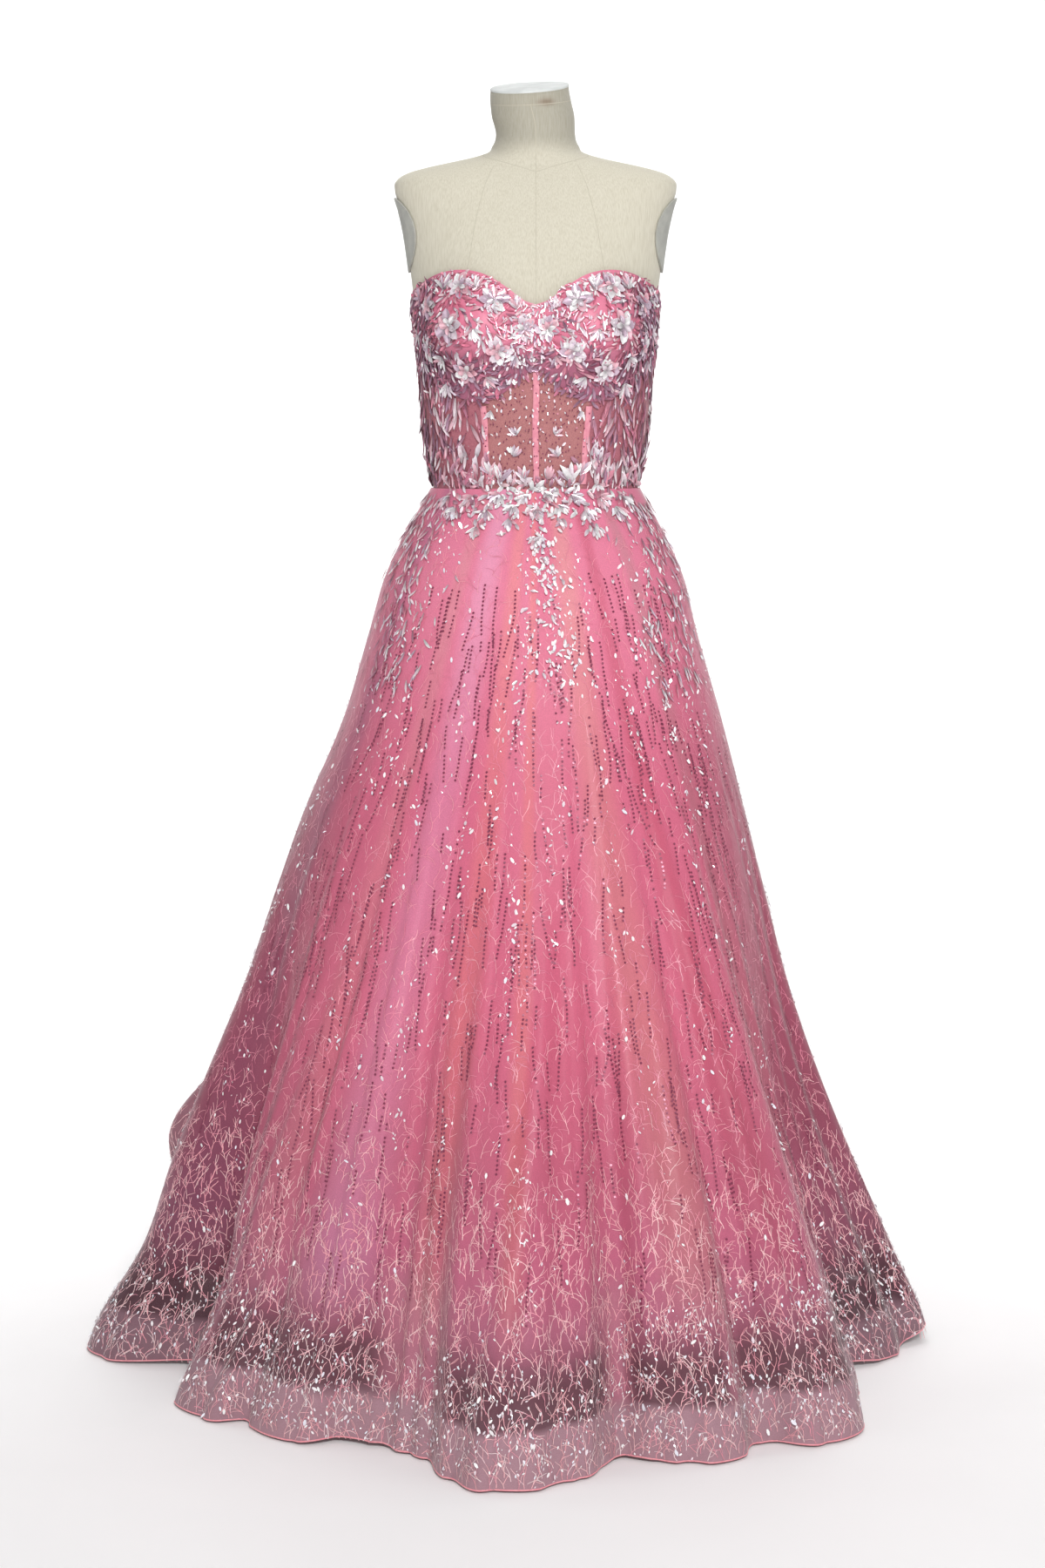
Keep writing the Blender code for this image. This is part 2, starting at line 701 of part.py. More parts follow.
def make_arm_plates():
    """Oval boards over the form's armholes, made from its own points moved out."""
    turns = np.arange(20) * 18.0
    for side, sign in (("left", -1), ("right", 1)):
        outer, inner = [], []
        for share in (1.0, 0.7, 0.4, 0.12):
            angle = 90.0 + PLATE_HALF_ANGLE * share * np.cos(np.radians(turns))
            z = PLATE_Z + PLATE_HALF_HEIGHT * share * np.sin(np.radians(turns))
            points = body_point(sign * angle, z)
            normals = surface_normals(body_point, sign * angle, z)
            inner.append(points + normals * PLATE_CLEARANCE)
            outer.append(points + normals * (PLATE_CLEARANCE + PLATE_THICKNESS))
        rings = np.array(outer[::-1] + inner)
        if sign < 0:
            rings = rings[:, ::-1]
        add_rings(f"arm_plate_{side}", rings, "plate_board", 30.0)


def turned(name, profile, finish, columns=40, smooth=30.0):
    """A body turned about the Z axis through (radius, height) rows, from the top down."""
    angles = np.arange(columns) * 360.0 / columns
    rings = np.array([place(angles, radius, np.full(columns, z)) for radius, z in profile])
    return add_rings(name, rings, finish, smooth)


def make_stand():
    top = TORSO_BOTTOM_Z - SEAM_GAP
    hub_top = BASE_THICKNESS + HUB_HEIGHT
    turned("stand_pole", ((POLE_RADIUS, top), (POLE_RADIUS, hub_top + SEAM_GAP)), "stand_steel", 32)
    turned(
        "stand_base",
        (
            (HUB_RADIUS * 0.86, hub_top),
            (HUB_RADIUS, hub_top - 0.004),
            (HUB_RADIUS, BASE_THICKNESS + 0.016),
            (HUB_RADIUS * 1.8, BASE_THICKNESS + 0.004),
            (BASE_RADIUS - 0.006, BASE_THICKNESS),
            (BASE_RADIUS, BASE_THICKNESS - 0.005),
            (BASE_RADIUS, 0.0),
        ),
        "stand_steel",
        36,
    )


def box_points(low, high):
    (x0, y0, z0), (x1, y1, z1) = low, high
    points = [(x, y, z) for z in (z0, z1) for x, y in ((x0, y0), (x1, y0), (x1, y1), (x0, y1))]
    faces = [
        (3, 2, 1, 0),
        (4, 5, 6, 7),
        (0, 1, 5, 4),
        (1, 2, 6, 5),
        (2, 3, 7, 6),
        (3, 0, 4, 7),
    ]
    return points, faces


def add_box(name, low, high, finish):
    points, faces = box_points(low, high)
    return add_mesh(name, points, faces, finish, 30.0)


def cylinder_x(name, centre, radius, length, finish, columns=16):
    """A closed cylinder along X."""
    turns = np.radians(np.arange(columns) * 360.0 / columns)
    rings = []
    for x in (0.5 * length, -0.5 * length):
        ring = [
            (centre[0] + x, centre[1] + radius * math.cos(t), centre[2] + radius * math.sin(t))
            for t in turns
        ]
        rings.append(ring)
    return add_rings(name, np.array(rings), finish, 30.0)


def combine(target, other, operation):
    """Applies a Boolean as a live modifier and hides the other shape from the build."""
    other.hide_render = True
    other.display_type = "WIRE"
    cut = target.modifiers.new(other.name, "BOOLEAN")
    cut.operation = operation
    cut.object = other
    cut.solver = "EXACT"


def slider_place():
    """Where the slider's back face and the pull tab's pin lie."""
    edge = float(top_edge(np.array(180.0)))
    z = edge - SLIDER_BELOW_EDGE
    back = float(body_radius(np.array(180.0), np.array(z)))
    lean = float(body_radius(np.array(180.0), np.array(z + SLIDER_HEIGHT * 0.5)))
    return max(back, lean) + FORM_CLEARANCE + BODICE_WALL + SEAM_GAP, z


def make_zip():
    """A slider on the centre-back seam, with a pull tab on a pin across its two ears."""
    seat, z = slider_place()
    half_w, half_h = 0.5 * SLIDER_WIDTH, 0.5 * SLIDER_HEIGHT
    pin_y = seat + SLIDER_DEPTH + EYE_RADIUS + EYE_CLEARANCE
    pin_z = z + 0.25 * SLIDER_HEIGHT
    slider = add_box(
        "zip_slider", (-half_w, seat, z - half_h), (half_w, seat + SLIDER_DEPTH, z + half_h), "zip_metal"
    )
    ear_top = pin_y + PIN_RADIUS + EAR_OVER_PIN
    for name, x0 in (("ear_left", -half_w), ("ear_right", half_w - EAR_THICKNESS)):
        ear = add_box(
            name,
            (x0, seat + 0.5 * SLIDER_DEPTH, pin_z - EYE_RADIUS),
            (x0 + EAR_THICKNESS, ear_top, pin_z + EYE_RADIUS),
            "zip_metal",
        )
        combine(slider, ear, "UNION")
    pin = cylinder_x(
        "pin", (0, pin_y, pin_z), PIN_RADIUS, SLIDER_WIDTH - EAR_THICKNESS, "zip_metal"
    )
    combine(slider, pin, "UNION")

    eye_width = SLIDER_WIDTH - 2 * EAR_THICKNESS - 2 * EYE_CLEARANCE
    blade_top = pin_z - PIN_RADIUS - EYE_CLEARANCE
    pull = cylinder_x("zip_pull", (0, pin_y, pin_z), EYE_RADIUS, eye_width, "zip_metal", 20)
    tab = add_box(
        "tab_blade",
        (-0.5 * TAB_WIDTH, pin_y - 0.5 * TAB_THICKNESS, pin_z - TAB_LENGTH),
        (0.5 * TAB_WIDTH, pin_y + 0.5 * TAB_THICKNESS, blade_top),
        "zip_metal",
    )
    combine(pull, tab, "UNION")
    bore = cylinder_x(
        "pin_bore",
        (0, pin_y, pin_z),
        PIN_RADIUS + BORE_CLEARANCE,
        2 * SLIDER_WIDTH,
        "zip_metal",
        20,
    )
    combine(pull, bore, "DIFFERENCE")


def main():
    clear_scene()
    make_torso()
    make_neck_cap()
    make_arm_plates()
    make_stand()
    make_bodice()
    make_boning()
    make_net_skirt()
    make_inner_skirts()
    make_waist_applique()
    make_zip()


main()
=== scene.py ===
"""Looks of the strapless ball gown and its dress form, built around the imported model.

Metres, +Z up, the front faces -Y. A place on the gown is an angle, in degrees from the
front towards +X, and a height. The tables of the form and the skirts are the part's
own, so that each fine piece lies where its solid does."""

import math
from collections import namedtuple

import bpy
import numpy as np
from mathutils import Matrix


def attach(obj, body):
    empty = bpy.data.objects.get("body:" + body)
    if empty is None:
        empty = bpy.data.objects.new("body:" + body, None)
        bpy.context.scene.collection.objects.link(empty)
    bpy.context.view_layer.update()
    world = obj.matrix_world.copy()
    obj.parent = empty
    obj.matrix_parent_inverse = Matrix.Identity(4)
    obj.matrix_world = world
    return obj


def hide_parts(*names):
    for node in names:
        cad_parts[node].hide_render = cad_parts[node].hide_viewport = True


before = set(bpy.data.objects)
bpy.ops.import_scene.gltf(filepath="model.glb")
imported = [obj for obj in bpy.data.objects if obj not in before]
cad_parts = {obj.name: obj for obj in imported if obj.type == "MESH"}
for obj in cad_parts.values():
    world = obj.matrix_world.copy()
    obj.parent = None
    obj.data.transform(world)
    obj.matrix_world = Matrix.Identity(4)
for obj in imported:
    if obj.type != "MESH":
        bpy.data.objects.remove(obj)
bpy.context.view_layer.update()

GOWN = "gown_on_form"
SIDES = (("left", -1), ("right", 1))


def named_rows(kind, *values):
    """A table: one named row for each set of values."""
    return tuple(kind(*row) for row in values)


# Heights and walls of the solids
WAIST_Z = 1.100
NECK_TOP_Z = 1.590
NET_HEM_Z = 0.004
UNDERNET_HEM_Z = 0.135
LINING_HEM_Z = 0.105
HORSEHAIR_WIDTH = 0.060
FORM_CLEARANCE = 0.0011
CUP_CLEARANCE = 0.0016
CUP_WALL = 0.0030
BODICE_WALL = 0.0016
NET_OUT = 0.0056
UNDERNET_OUT = 0.0037
LINING_OUT = 0.0023
LINING_SHARE = 0.55
LINING_INSET = 0.058
UNDERNET_INSET = 0.033
HUMP_ROUNDNESS = 2.4
HEM_KICK = 0.012
HEM_KICK_HEIGHT = 0.10

# Seams, degrees from centre front
BONE_ANGLE = 36.0
BODICE_SIDE_SEAM = 80.0
SKIRT_SIDE_SEAM = 93.0
BONE_WIDTH = 0.007

# Camera
CAMERA_HEIGHT = 1.161
CAMERA_DISTANCE = 3.574
CAMERA_SIDE = -0.0162
CAMERA_DOWN = 6.945
CAMERA_LENS = 65.05
SENSOR_WIDTH = 36.0

BodySection = namedtuple("BodySection", "z half_width front back square")
BODY = named_rows(
    BodySection,
    (0.8, 0.152, 0.104, 0.112, 2.2),
    (0.89, 0.166, 0.112, 0.128, 2.1),
    (0.96, 0.16, 0.108, 0.122, 2.1),
    (1.03, 0.14, 0.098, 0.1, 2),
    (1.1, 0.1255, 0.088, 0.084, 2),
    (1.14, 0.1325, 0.091, 0.086, 2),
    (1.18, 0.1375, 0.095, 0.089, 2),
    (1.24, 0.142, 0.1, 0.093, 2),
    (1.29, 0.147, 0.104, 0.097, 2),
    (1.33, 0.151, 0.104, 0.1, 2),
    (1.376, 0.1565, 0.099, 0.101, 2.1),
    (1.42, 0.163, 0.088, 0.098, 2.3),
    (1.45, 0.17, 0.077, 0.091, 2.5),
    (1.466, 0.1742, 0.071, 0.085, 2.6),
    (1.477, 0.1728, 0.066, 0.079, 2.6),
    (1.486, 0.16, 0.062, 0.074, 2.4),
    (1.493, 0.137, 0.059, 0.069, 2.2),
    (1.499, 0.109, 0.057, 0.065, 2.1),
    (1.505, 0.081, 0.0555, 0.062, 2),
    (1.511, 0.061, 0.0545, 0.059, 2),
    (1.52, 0.0535, 0.0535, 0.056, 2),
    (1.56, 0.0508, 0.053, 0.052, 2),
    (1.597, 0.0475, 0.053, 0.047, 2),
)
BUST_ANGLE = 37.0
BUST_SPREAD = 24.0
BUST_RISE = 0.031
BUST_Z = 1.288
BUST_ABOVE = 0.062
BUST_BELOW = 0.050
NECK_TILT_START_Z = 1.530
NECK_TILT_FRONT = 0.22
NECK_TILT_SIDE = 0.06
NECK_SHIFT = -0.0075

EdgePoint = namedtuple("EdgePoint", "angle z")
TOP_EDGE = named_rows(
    EdgePoint,
    (0, 1.3215),
    (8, 1.3265),
    (18, 1.341),
    (30, 1.356),
    (44, 1.363),
    (58, 1.36),
    (70, 1.35),
    (80, 1.342),
    (100, 1.331),
    (130, 1.319),
    (180, 1.31),
)
CUP_EDGE = named_rows(
    EdgePoint,
    (0, 1.248),
    (12, 1.232),
    (26, 1.212),
    (38, 1.207),
    (52, 1.214),
    (66, 1.236),
    (80, 1.256),
)
Spread = namedtuple("Spread", "z right left front back")
SPREADS = named_rows(
    Spread,
    (1.1, 0, 0, 0, 0),
    (1.065, 0.019, 0.02, 0.017, 0.026),
    (1.037, 0.034, 0.036, 0.032, 0.052),
    (0.992, 0.054, 0.057, 0.054, 0.088),
    (0.925, 0.071, 0.077, 0.082, 0.13),
    (0.812, 0.104, 0.111, 0.124, 0.19),
    (0.699, 0.133, 0.157, 0.166, 0.25),
    (0.586, 0.158, 0.19, 0.208, 0.31),
    (0.473, 0.18, 0.218, 0.25, 0.372),
    (0.36, 0.21, 0.25, 0.288, 0.438),
    (0.248, 0.247, 0.28, 0.322, 0.51),
    (0.135, 0.29, 0.308, 0.346, 0.58),
    (0.06, 0.318, 0.346, 0.358, 0.628),
    (0, 0.328, 0.364, 0.361, 0.65),
)
Fold = namedtuple("Fold", "hem_angle top_angle half_width rise start_z lift")
FOLDS = named_rows(
    Fold,
    (-3, -2, 15, 0.086, 0.74, 0),
    (-17.5, -14, 6, -0.014, 0.5, 0),
    (-28, -22, 9, -0.022, 0.62, 0.004),
    (-38, -31, 8, 0.012, 0.74, 0),
    (-56, -42, 9, 0.022, 0.8, 0),
    (-70.5, -60, 9, -0.07, 0.62, 0.008),
    (-86, -76, 11, 0.072, 0.78, 0),
    (-98, -93, 7, -0.03, 0.5, 0.004),
    (-110, -105, 12, 0.066, 0.98, 0),
    (-121, -119, 7, -0.028, 0.5, 0.004),
    (-132, -126, 14, 0.102, 0.88, 0.012),
    (-150, -148, 10, -0.042, 0.6, 0.006),
    (-163, -160, 11, 0.055, 0.8, 0),
    (179, 179, 8, -0.02, 0.5, 0.004),
    (165, 163, 10, 0.05, 0.84, 0),
    (149, 148, 8, -0.032, 0.55, 0.004),
    (135, 131, 11, 0.056, 0.78, 0),
    (122, 119, 7, -0.026, 0.5, 0.004),
    (112, 105, 9, 0.036, 0.84, 0),
    (102.5, 96, 5.5, -0.022, 0.45, 0.004),
    (93, 80, 9.5, 0.04, 0.74, 0.026),
    (68, 61, 11, -0.062, 0.64, 0.008),
    (44, 36, 12, 0.066, 0.9, 0),
    (25, 19, 11, 0.044, 0.8, 0),
    (13.5, 11, 4.5, -0.01, 0.5, 0.002),
)
Bulge = namedtuple("Bulge", "angle z half_width half_height rise")
BULGES = named_rows(Bulge, (-104.0, 0.245, 14.0, 0.090, 0.032))

# Creases too small for the solids: each runs from a top place to a hem angle
Crease = namedtuple("Crease", "hem_angle top_angle half_width rise start_z")
CREASES = named_rows(
    Crease,
    (-7.5, 13, 2.6, 0.011, 0.76),
    (2.5, 5, 2.4, -0.0097, 0.8),
    (-12.5, -9, 2.2, 0.0097, 0.86),
    (-17, -15, 1.8, 0.0103, 0.78),
    (-23, -19, 2.4, -0.0103, 0.92),
    (-33.5, -26, 2.6, 0.011, 0.98),
    (-50, -24, 2.8, 0.0124, 0.72),
    (-47, -36, 2.6, -0.0103, 0.96),
    (-62, -30, 2.6, -0.0103, 0.7),
    (-66, -47, 3, 0.0124, 0.98),
    (-78.5, -58, 3, 0.0117, 0.8),
    (-92, -86, 2.8, 0.011, 0.9),
    (-104, -99, 2.6, -0.0097, 0.86),
    (-116, -112, 2.8, 0.011, 0.98),
    (-127, -121, 2.6, 0.011, 0.8),
    (-138, -131, 2.6, -0.0103, 0.98),
    (-146, -142, 2.4, 0.0097, 0.82),
    (-157, -154, 2.6, 0.011, 0.98),
    (-168, -166, 2.4, -0.0097, 0.84),
    (-175, -174, 2.2, 0.0097, 0.92),
    (171.5, 170, 2.4, 0.0103, 0.86),
    (158, 156, 2.6, -0.0097, 0.98),
    (143, 140, 2.6, 0.0103, 0.84),
    (129, 124, 2.6, 0.011, 0.98),
    (117, 111, 2.4, -0.0097, 0.86),
    (106, 99, 2.4, 0.0097, 0.94),
    (88, 74, 2.8, 0.0117, 0.86),
    (78, 66, 2.6, -0.0097, 0.98),
    (61, 50, 2.8, 0.011, 0.9),
    (52, 41, 2.6, -0.011, 0.98),
    (38, 31, 2.6, 0.011, 0.92),
    (31, 25, 2.4, -0.0097, 0.86),
    (15, 19, 2.4, 0.011, 0.98),
    (21, 22, 2.2, -0.009, 0.76),
    (7, 9, 1.8, 0.0083, 0.88),
)

Flower = namedtuple("Flower", "angle z radius")
FLOWERS = named_rows(
    Flower,
    (8, 1.292, 0.016),
    (24, 1.326, 0.018),
    (22, 1.268, 0.017),
    (42, 1.342, 0.017),
    (43, 1.296, 0.021),
    (40, 1.246, 0.018),
    (61, 1.322, 0.018),
    (62, 1.272, 0.017),
)
FLOWER_RISE = 0.0022
FLOWER_PETALS = 5

# Fans of narrow leaves between the flowers: heading is from straight up, outwards
Fan = namedtuple("Fan", "angle z heading spread leaves length")
CUP_FANS = named_rows(
    Fan,
    (12, 1.315, 10, 80, 7, 0.017),
    (33, 1.338, 20, 110, 8, 0.018),
    (52, 1.34, -10, 120, 9, 0.02),
    (69, 1.33, 60, 110, 8, 0.018),
    (13, 1.262, 150, 110, 7, 0.015),
    (32, 1.292, 190, 120, 8, 0.016),
    (30, 1.238, 200, 100, 7, 0.017),
    (52, 1.262, 130, 120, 8, 0.019),
    (55, 1.23, 160, 90, 7, 0.02),
    (72, 1.29, 120, 100, 8, 0.019),
    (70, 1.258, 170, 80, 7, 0.02),
)
MIDRIFF_FANS = named_rows(
    Fan,
    (9, 1.112, 15, 70, 5, 0.018),
    (17, 1.14, -25, 90, 6, 0.015),
    (14, 1.166, 30, 100, 5, 0.013),
    (27, 1.108, -10, 60, 6, 0.024),
    (33, 1.118, 25, 60, 5, 0.02),
    (31, 1.196, 170, 60, 4, 0.014),
)
WAIST_FANS = named_rows(
    Fan,
    (0, 1.075, 180, 150, 8, 0.015),
    (0, 1.042, 180, 150, 7, 0.015),
    (7, 1.092, 120, 120, 7, 0.015),
    (15, 1.08, 160, 110, 7, 0.016),
    (17, 1.064, 190, 70, 5, 0.016),
    (25, 1.092, 140, 120, 7, 0.018),
    (32, 1.074, 170, 90, 7, 0.018),
    (35, 1.054, 175, 60, 5, 0.018),
    (43, 1.09, 140, 110, 7, 0.02),
    (52, 1.078, 165, 80, 7, 0.02),
    (60, 1.09, 150, 80, 6, 0.02),
)
Spray = namedtuple("Spray", "angle half_width drop")
SPRAYS = named_rows(
    Spray,
    (-52, 9, 0.028),
    (-33, 9, 0.046),
    (-16, 8, 0.036),
    (0, 9, 0.078),
    (16, 8, 0.038),
    (33, 9, 0.044),
    (52, 9, 0.026),
)
SPRAY_BAND = 0.022
APPLIQUE_END = 64.0

# Seams of the canvas form: each is a line of angles and heights
PRINCESS_ANGLE = 42.0
BACK_DART_ANGLE = 150.0
NECK_SEAM_Z = 1.5095
NECK_SEAM_POINT = 0.0260
NECK_SEAM_REACH = 75.0
NECK_BAND_Z = 1.574
SEAM_BASE_Z = 0.81
SEAM_SHOULDER_Z = 1.492
SEAM_TOP_Z = 1.575
SEAM_WIDTH = 0.0008
SEAM_RISE = 0.00025

# Rings of the form's mesh, closest where the shoulders turn
FormSpan = namedtuple("FormSpan", "top base rings")
FORM_SPANS = named_rows(FormSpan, (NECK_TOP_Z, 1.530, 16), (1.528, 1.455, 56), (1.450, BODY[0].z, 84))
FORM_COLUMNS = 144

# Board on the neck's cut end: share of the neck's radius, and height over the cut
BOARD_PROFILE = ((0.02, 0.0036), (0.6, 0.0036), (0.99, 0.0034), (1.012, 0.0024), (1.012, 0.001), (1, 0))

# Colours, linear
SILVER_PETALS = ((0.84, 0.72, 0.79), (0.95, 0.90, 0.92), (0.62, 0.46, 0.57), (0.88, 0.50, 0.58))
PINK_PETALS = ((0.88, 0.29, 0.40), (0.82, 0.20, 0.32), (0.90, 0.45, 0.54), (0.92, 0.64, 0.69))
SIDE_LEAVES = ((0.74, 0.28, 0.37), (0.52, 0.24, 0.33), (0.78, 0.47, 0.54), (0.88, 0.72, 0.77))
# Dark mauve leaves: on the cups' lower and outer parts they are painted shade
MAUVE_LEAVES = ((0.31, 0.14, 0.22), (0.41, 0.22, 0.32), (0.45, 0.16, 0.24), (0.60, 0.19, 0.29))
# Near-white sequins: partly their pearly colour, partly painted glints
SEQUIN_WHITES_AND_GLINTS = ((0.95, 0.90, 0.92), (0.98, 0.96, 0.96), (0.86, 0.74, 0.80), (0.88, 0.88, 0.96))
CUP_FLAKES = (*SEQUIN_WHITES_AND_GLINTS, (0.66, 0.54, 0.64), (0.78, 0.62, 0.72))
THREADS = ((0.87, 0.39, 0.44), (0.91, 0.49, 0.52), (0.81, 0.32, 0.40), (0.94, 0.60, 0.61))
PINK_THREADS = ((0.84, 0.30, 0.40), (0.72, 0.20, 0.31), (0.90, 0.40, 0.47), (0.78, 0.24, 0.35))

# The net's colour by height: pale over the hem's braid, dark above it as painted shade of the inside
NetToneAndInsideShade = namedtuple("NetToneAndInsideShade", "z red green blue")
NET_TONES_AND_INSIDE_SHADE = named_rows(
    NetToneAndInsideShade,
    (0, 0.47, 0.265, 0.315),
    (0.06, 0.45, 0.25, 0.3),
    (0.064, 0.155, 0.058, 0.08),
    (0.108, 0.17, 0.06, 0.084),
    (0.165, 0.5, 0.15, 0.24),
    (0.225, 0.6, 0.15, 0.255),
    (0.32, 0.62, 0.143, 0.235),
    (0.48, 0.74, 0.158, 0.262),
    (0.74, 0.78, 0.17, 0.285),
    (0.96, 0.93, 0.265, 0.405),
    (1.1, 0.93, 0.275, 0.42),
)

# Places above the hem where the net lies close and the painted shade of the inside is left off
CLOSE_NET_COLOUR = (0.56, 0.20, 0.28)
CLOSE_NET_TOP_Z = 0.22
CLOSE_NET_BASE_Z = 0.055
CloseNet = namedtuple("CloseNet", "angle half_width")
CLOSE_NET = named_rows(
    CloseNet,
    (-58, 4.5),
    (-19, 9),
    (12, 3),
    (29, 3),
    (53, 5.5),
    (90, 5),
    (112, 6),
    (131, 5),
    (152, 7),
    (171, 5),
    (-172, 5),
    (-150, 6),
    (-131, 5),
    (-110, 6),
    (-88, 5),
)

# Bands down the folds that are warmer, greyer, lighter or darker: partly the net's own tone,
# partly painted light and shade of the folds. Shares of the net's colour
FoldToneAndShadeBand = namedtuple("FoldToneAndShadeBand", "hem_angle top_angle half_width red green blue")
FOLD_TONE_AND_SHADE_BANDS = named_rows(
    FoldToneAndShadeBand,
    (-19, -9, 5, 1.04, 1.15, 0.9),
    (-4, -1, 2.5, 1.04, 1.12, 0.86),
    (3, 4, 8, 0.95, 0.84, 0.88),
    (27, 13, 8, 0.98, 1.28, 0.95),
    (42, 27, 4.5, 0.86, 0.72, 0.74),
    (58, 46, 5, 0.82, 1.05, 0.9),
    (-52, -34, 5, 0.96, 1.18, 1),
    (-36, -22, 9, 1.04, 1.42, 1.38),
    (-80, -62, 7, 0.78, 0.85, 0.9),
    (95, 84, 6, 0.92, 1.15, 1),
    (133, 128, 8, 0.98, 1.2, 1),
    (160, 157, 6, 1, 1.15, 0.95),
    (-172, -170, 6, 1, 1.15, 0.95),
    (-140, -134, 8, 0.98, 1.2, 1),
    (-108, -103, 7, 0.92, 1.12, 1),
)

FOLD_SHADE_BASE_Z = 0.12

# Share of the net's colour round the sides: partly its own greyer tone, partly painted shade.
# It is felt less near the waist
SIDE_TONE_AND_SHADE = (0.56, 0.52, 0.55)
SIDE_SHADE_START = 38.0
SIDE_SHADE_WIDTH = 42.0
SIDE_SHADE_AT_WAIST = 0.40
SIDE_SHADE_TOP_Z = 0.95


def column(table, name):
    return np.array([getattr(row, name) for row in table], float)


def curve_through(places, values, at):
    """A smooth curve through a table's points, read at the places asked for."""
    slopes = np.gradient(values, places)
    at = np.clip(at, places[0], places[-1])
    left = np.clip(np.searchsorted(places, at, side="right") - 1, 0, len(places) - 2)
    width = places[left + 1] - places[left]
    t = (at - places[left]) / width
    return (
        values[left] * (1 + 2 * t) * (1 - t) ** 2
        + slopes[left] * width * t * (1 - t) ** 2
        + values[left + 1] * t**2 * (3 - 2 * t)
        + slopes[left + 1] * width * t**2 * (t - 1)
    )


def body_column(name, z):
    return curve_through(column(BODY, "z"), column(BODY, name), z)


def spread_column(name, z):
    rows = SPREADS[::-1]
    return curve_through(column(rows, "z"), column(rows, name), z)


def smooth_step(share):
    share = np.clip(share, 0.0, 1.0)
    return share * share * (3 - 2 * share)


def turn_between(angle, centre):
    """The signed turn from a centre to an angle, the short way round."""
    return (angle - centre + 180.0) % 360.0 - 180.0


def hump(angle, centre, half_width):
    """A rise from 0 to 1 and back over a width of angles, with a round top."""
    turn = np.clip(np.abs(turn_between(angle, centre)) / half_width, 0.0, 1.0)
    return (1 - turn**HUMP_ROUNDNESS) ** 2


def place(angle, radius, z):
    """Points at an angle from the front, a radius and a height."""
    turn = np.radians(angle)
    return np.stack([radius * np.sin(turn), -radius * np.cos(turn), z + 0 * turn], axis=-1)


def oval(angle, side, front, back, square):
    """Radius of an oval section whose front and back depths differ."""
    across = np.abs(np.sin(np.radians(angle)))
    along = np.abs(np.cos(np.radians(angle)))
    depth = np.where(np.cos(np.radians(angle)) > 0, front, back)
    return ((across / side) ** square + (along / depth) ** square) ** (-1.0 / square)


def body_radius(angle, z):
    radius = oval(
        angle,
        body_column("half_width", z),
        body_column("front", z),
        body_column("back", z),
        body_column("square", z),
    )
    reach = np.where(z > BUST_Z, BUST_ABOVE, BUST_BELOW)
    level = np.exp(-(((z - BUST_Z) / reach) ** 2))
    for centre in (-BUST_ANGLE, BUST_ANGLE):
        turn = turn_between(angle, centre) / BUST_SPREAD
        radius = radius + BUST_RISE * level * np.exp(-(turn**2))
    return radius


def body_point(angle, z):
    return place(angle, body_radius(angle, z), z)


def running_folds(angle, z, folds):
    """How far a table's folds push a skirt out or in."""
    relief = 0.0
    way_down = np.clip(1 - z / WAIST_Z, 0.0, 1.0)
    for fold in folds:
        fallen = smooth_step((fold.start_z - z) / fold.start_z)
        centre = fold.top_angle + (fold.hem_angle - fold.top_angle) * way_down
        relief = relief + fold.rise * fallen * hump(angle, centre, fold.half_width)
    return relief


def bulge_relief(angle, z):
    relief = 0.0
    for bulge in BULGES:
        level = np.clip(1 - ((z - bulge.z) / bulge.half_height) ** 2, 0.0, 1.0) ** 2
        relief = relief + bulge.rise * level * hump(angle, bulge.angle, bulge.half_width)
    return relief


def hem_height(angle):
    lift = sum(fold.lift * hump(angle, fold.hem_angle, fold.half_width) for fold in FOLDS)
    return NET_HEM_Z + lift


def net_spread(angle, z):
    across = np.sin(np.radians(angle)) ** 2
    right = np.sin(np.radians(angle)) > 0
    front = np.cos(np.radians(angle)) > 0
    side = np.where(right, spread_column("right", z), spread_column("left", z))
    depth = np.where(front, spread_column("front", z), spread_column("back", z))
    kick = HEM_KICK * smooth_step((HEM_KICK_HEIGHT - z) / HEM_KICK_HEIGHT)
    return side * across + depth * (1 - across) + kick


def waist_radius(angle):
    return body_radius(angle, np.full(np.shape(angle), WAIST_Z))


def net_point(angle, z):
    """Outer side of the embroidered net, with its small creases."""
    radius = waist_radius(angle) + NET_OUT + net_spread(angle, z)
    radius = radius + running_folds(angle, z, FOLDS) + bulge_relief(angle, z)
    return place(angle, radius + running_folds(angle, z, CREASES), z)


def inner_skirt_point(angle, z, waist_offset, inset):
    """Outer side of a skirt inside the net, which has the same folds, but softer."""
    fallen = smooth_step((WAIST_Z - z) / WAIST_Z * 1.6)
    share = 1 - (1 - LINING_SHARE) * inset / LINING_INSET
    radius = waist_radius(angle) + waist_offset + net_spread(angle, z)
    radius = radius - inset * fallen + share * running_folds(angle, z, FOLDS)
    return place(angle, radius, z)


def lining_point(angle, z):
    return inner_skirt_point(angle, z, LINING_OUT, LINING_INSET)


def undernet_point(angle, z):
    return inner_skirt_point(angle, z, UNDERNET_OUT, UNDERNET_INSET)


def top_edge(angle):
    return curve_through(column(TOP_EDGE, "angle"), column(TOP_EDGE, "z"), np.abs(angle))


def cup_edge(angle):
    return curve_through(column(CUP_EDGE, "angle"), column(CUP_EDGE, "z"), np.abs(angle))


def all_round(z):
    """An edge at one height all round."""
    return lambda angle: np.full(np.shape(angle), z)


at_waist = all_round(WAIST_Z)
over_waist = all_round(WAIST_Z + 0.0003)


def spray_edge(angle):
    """Height of the waist applique's lower edge."""
    drop = sum(s.drop * hump(angle, s.angle, s.half_width) for s in SPRAYS)
    return WAIST_Z - SPRAY_BAND - drop


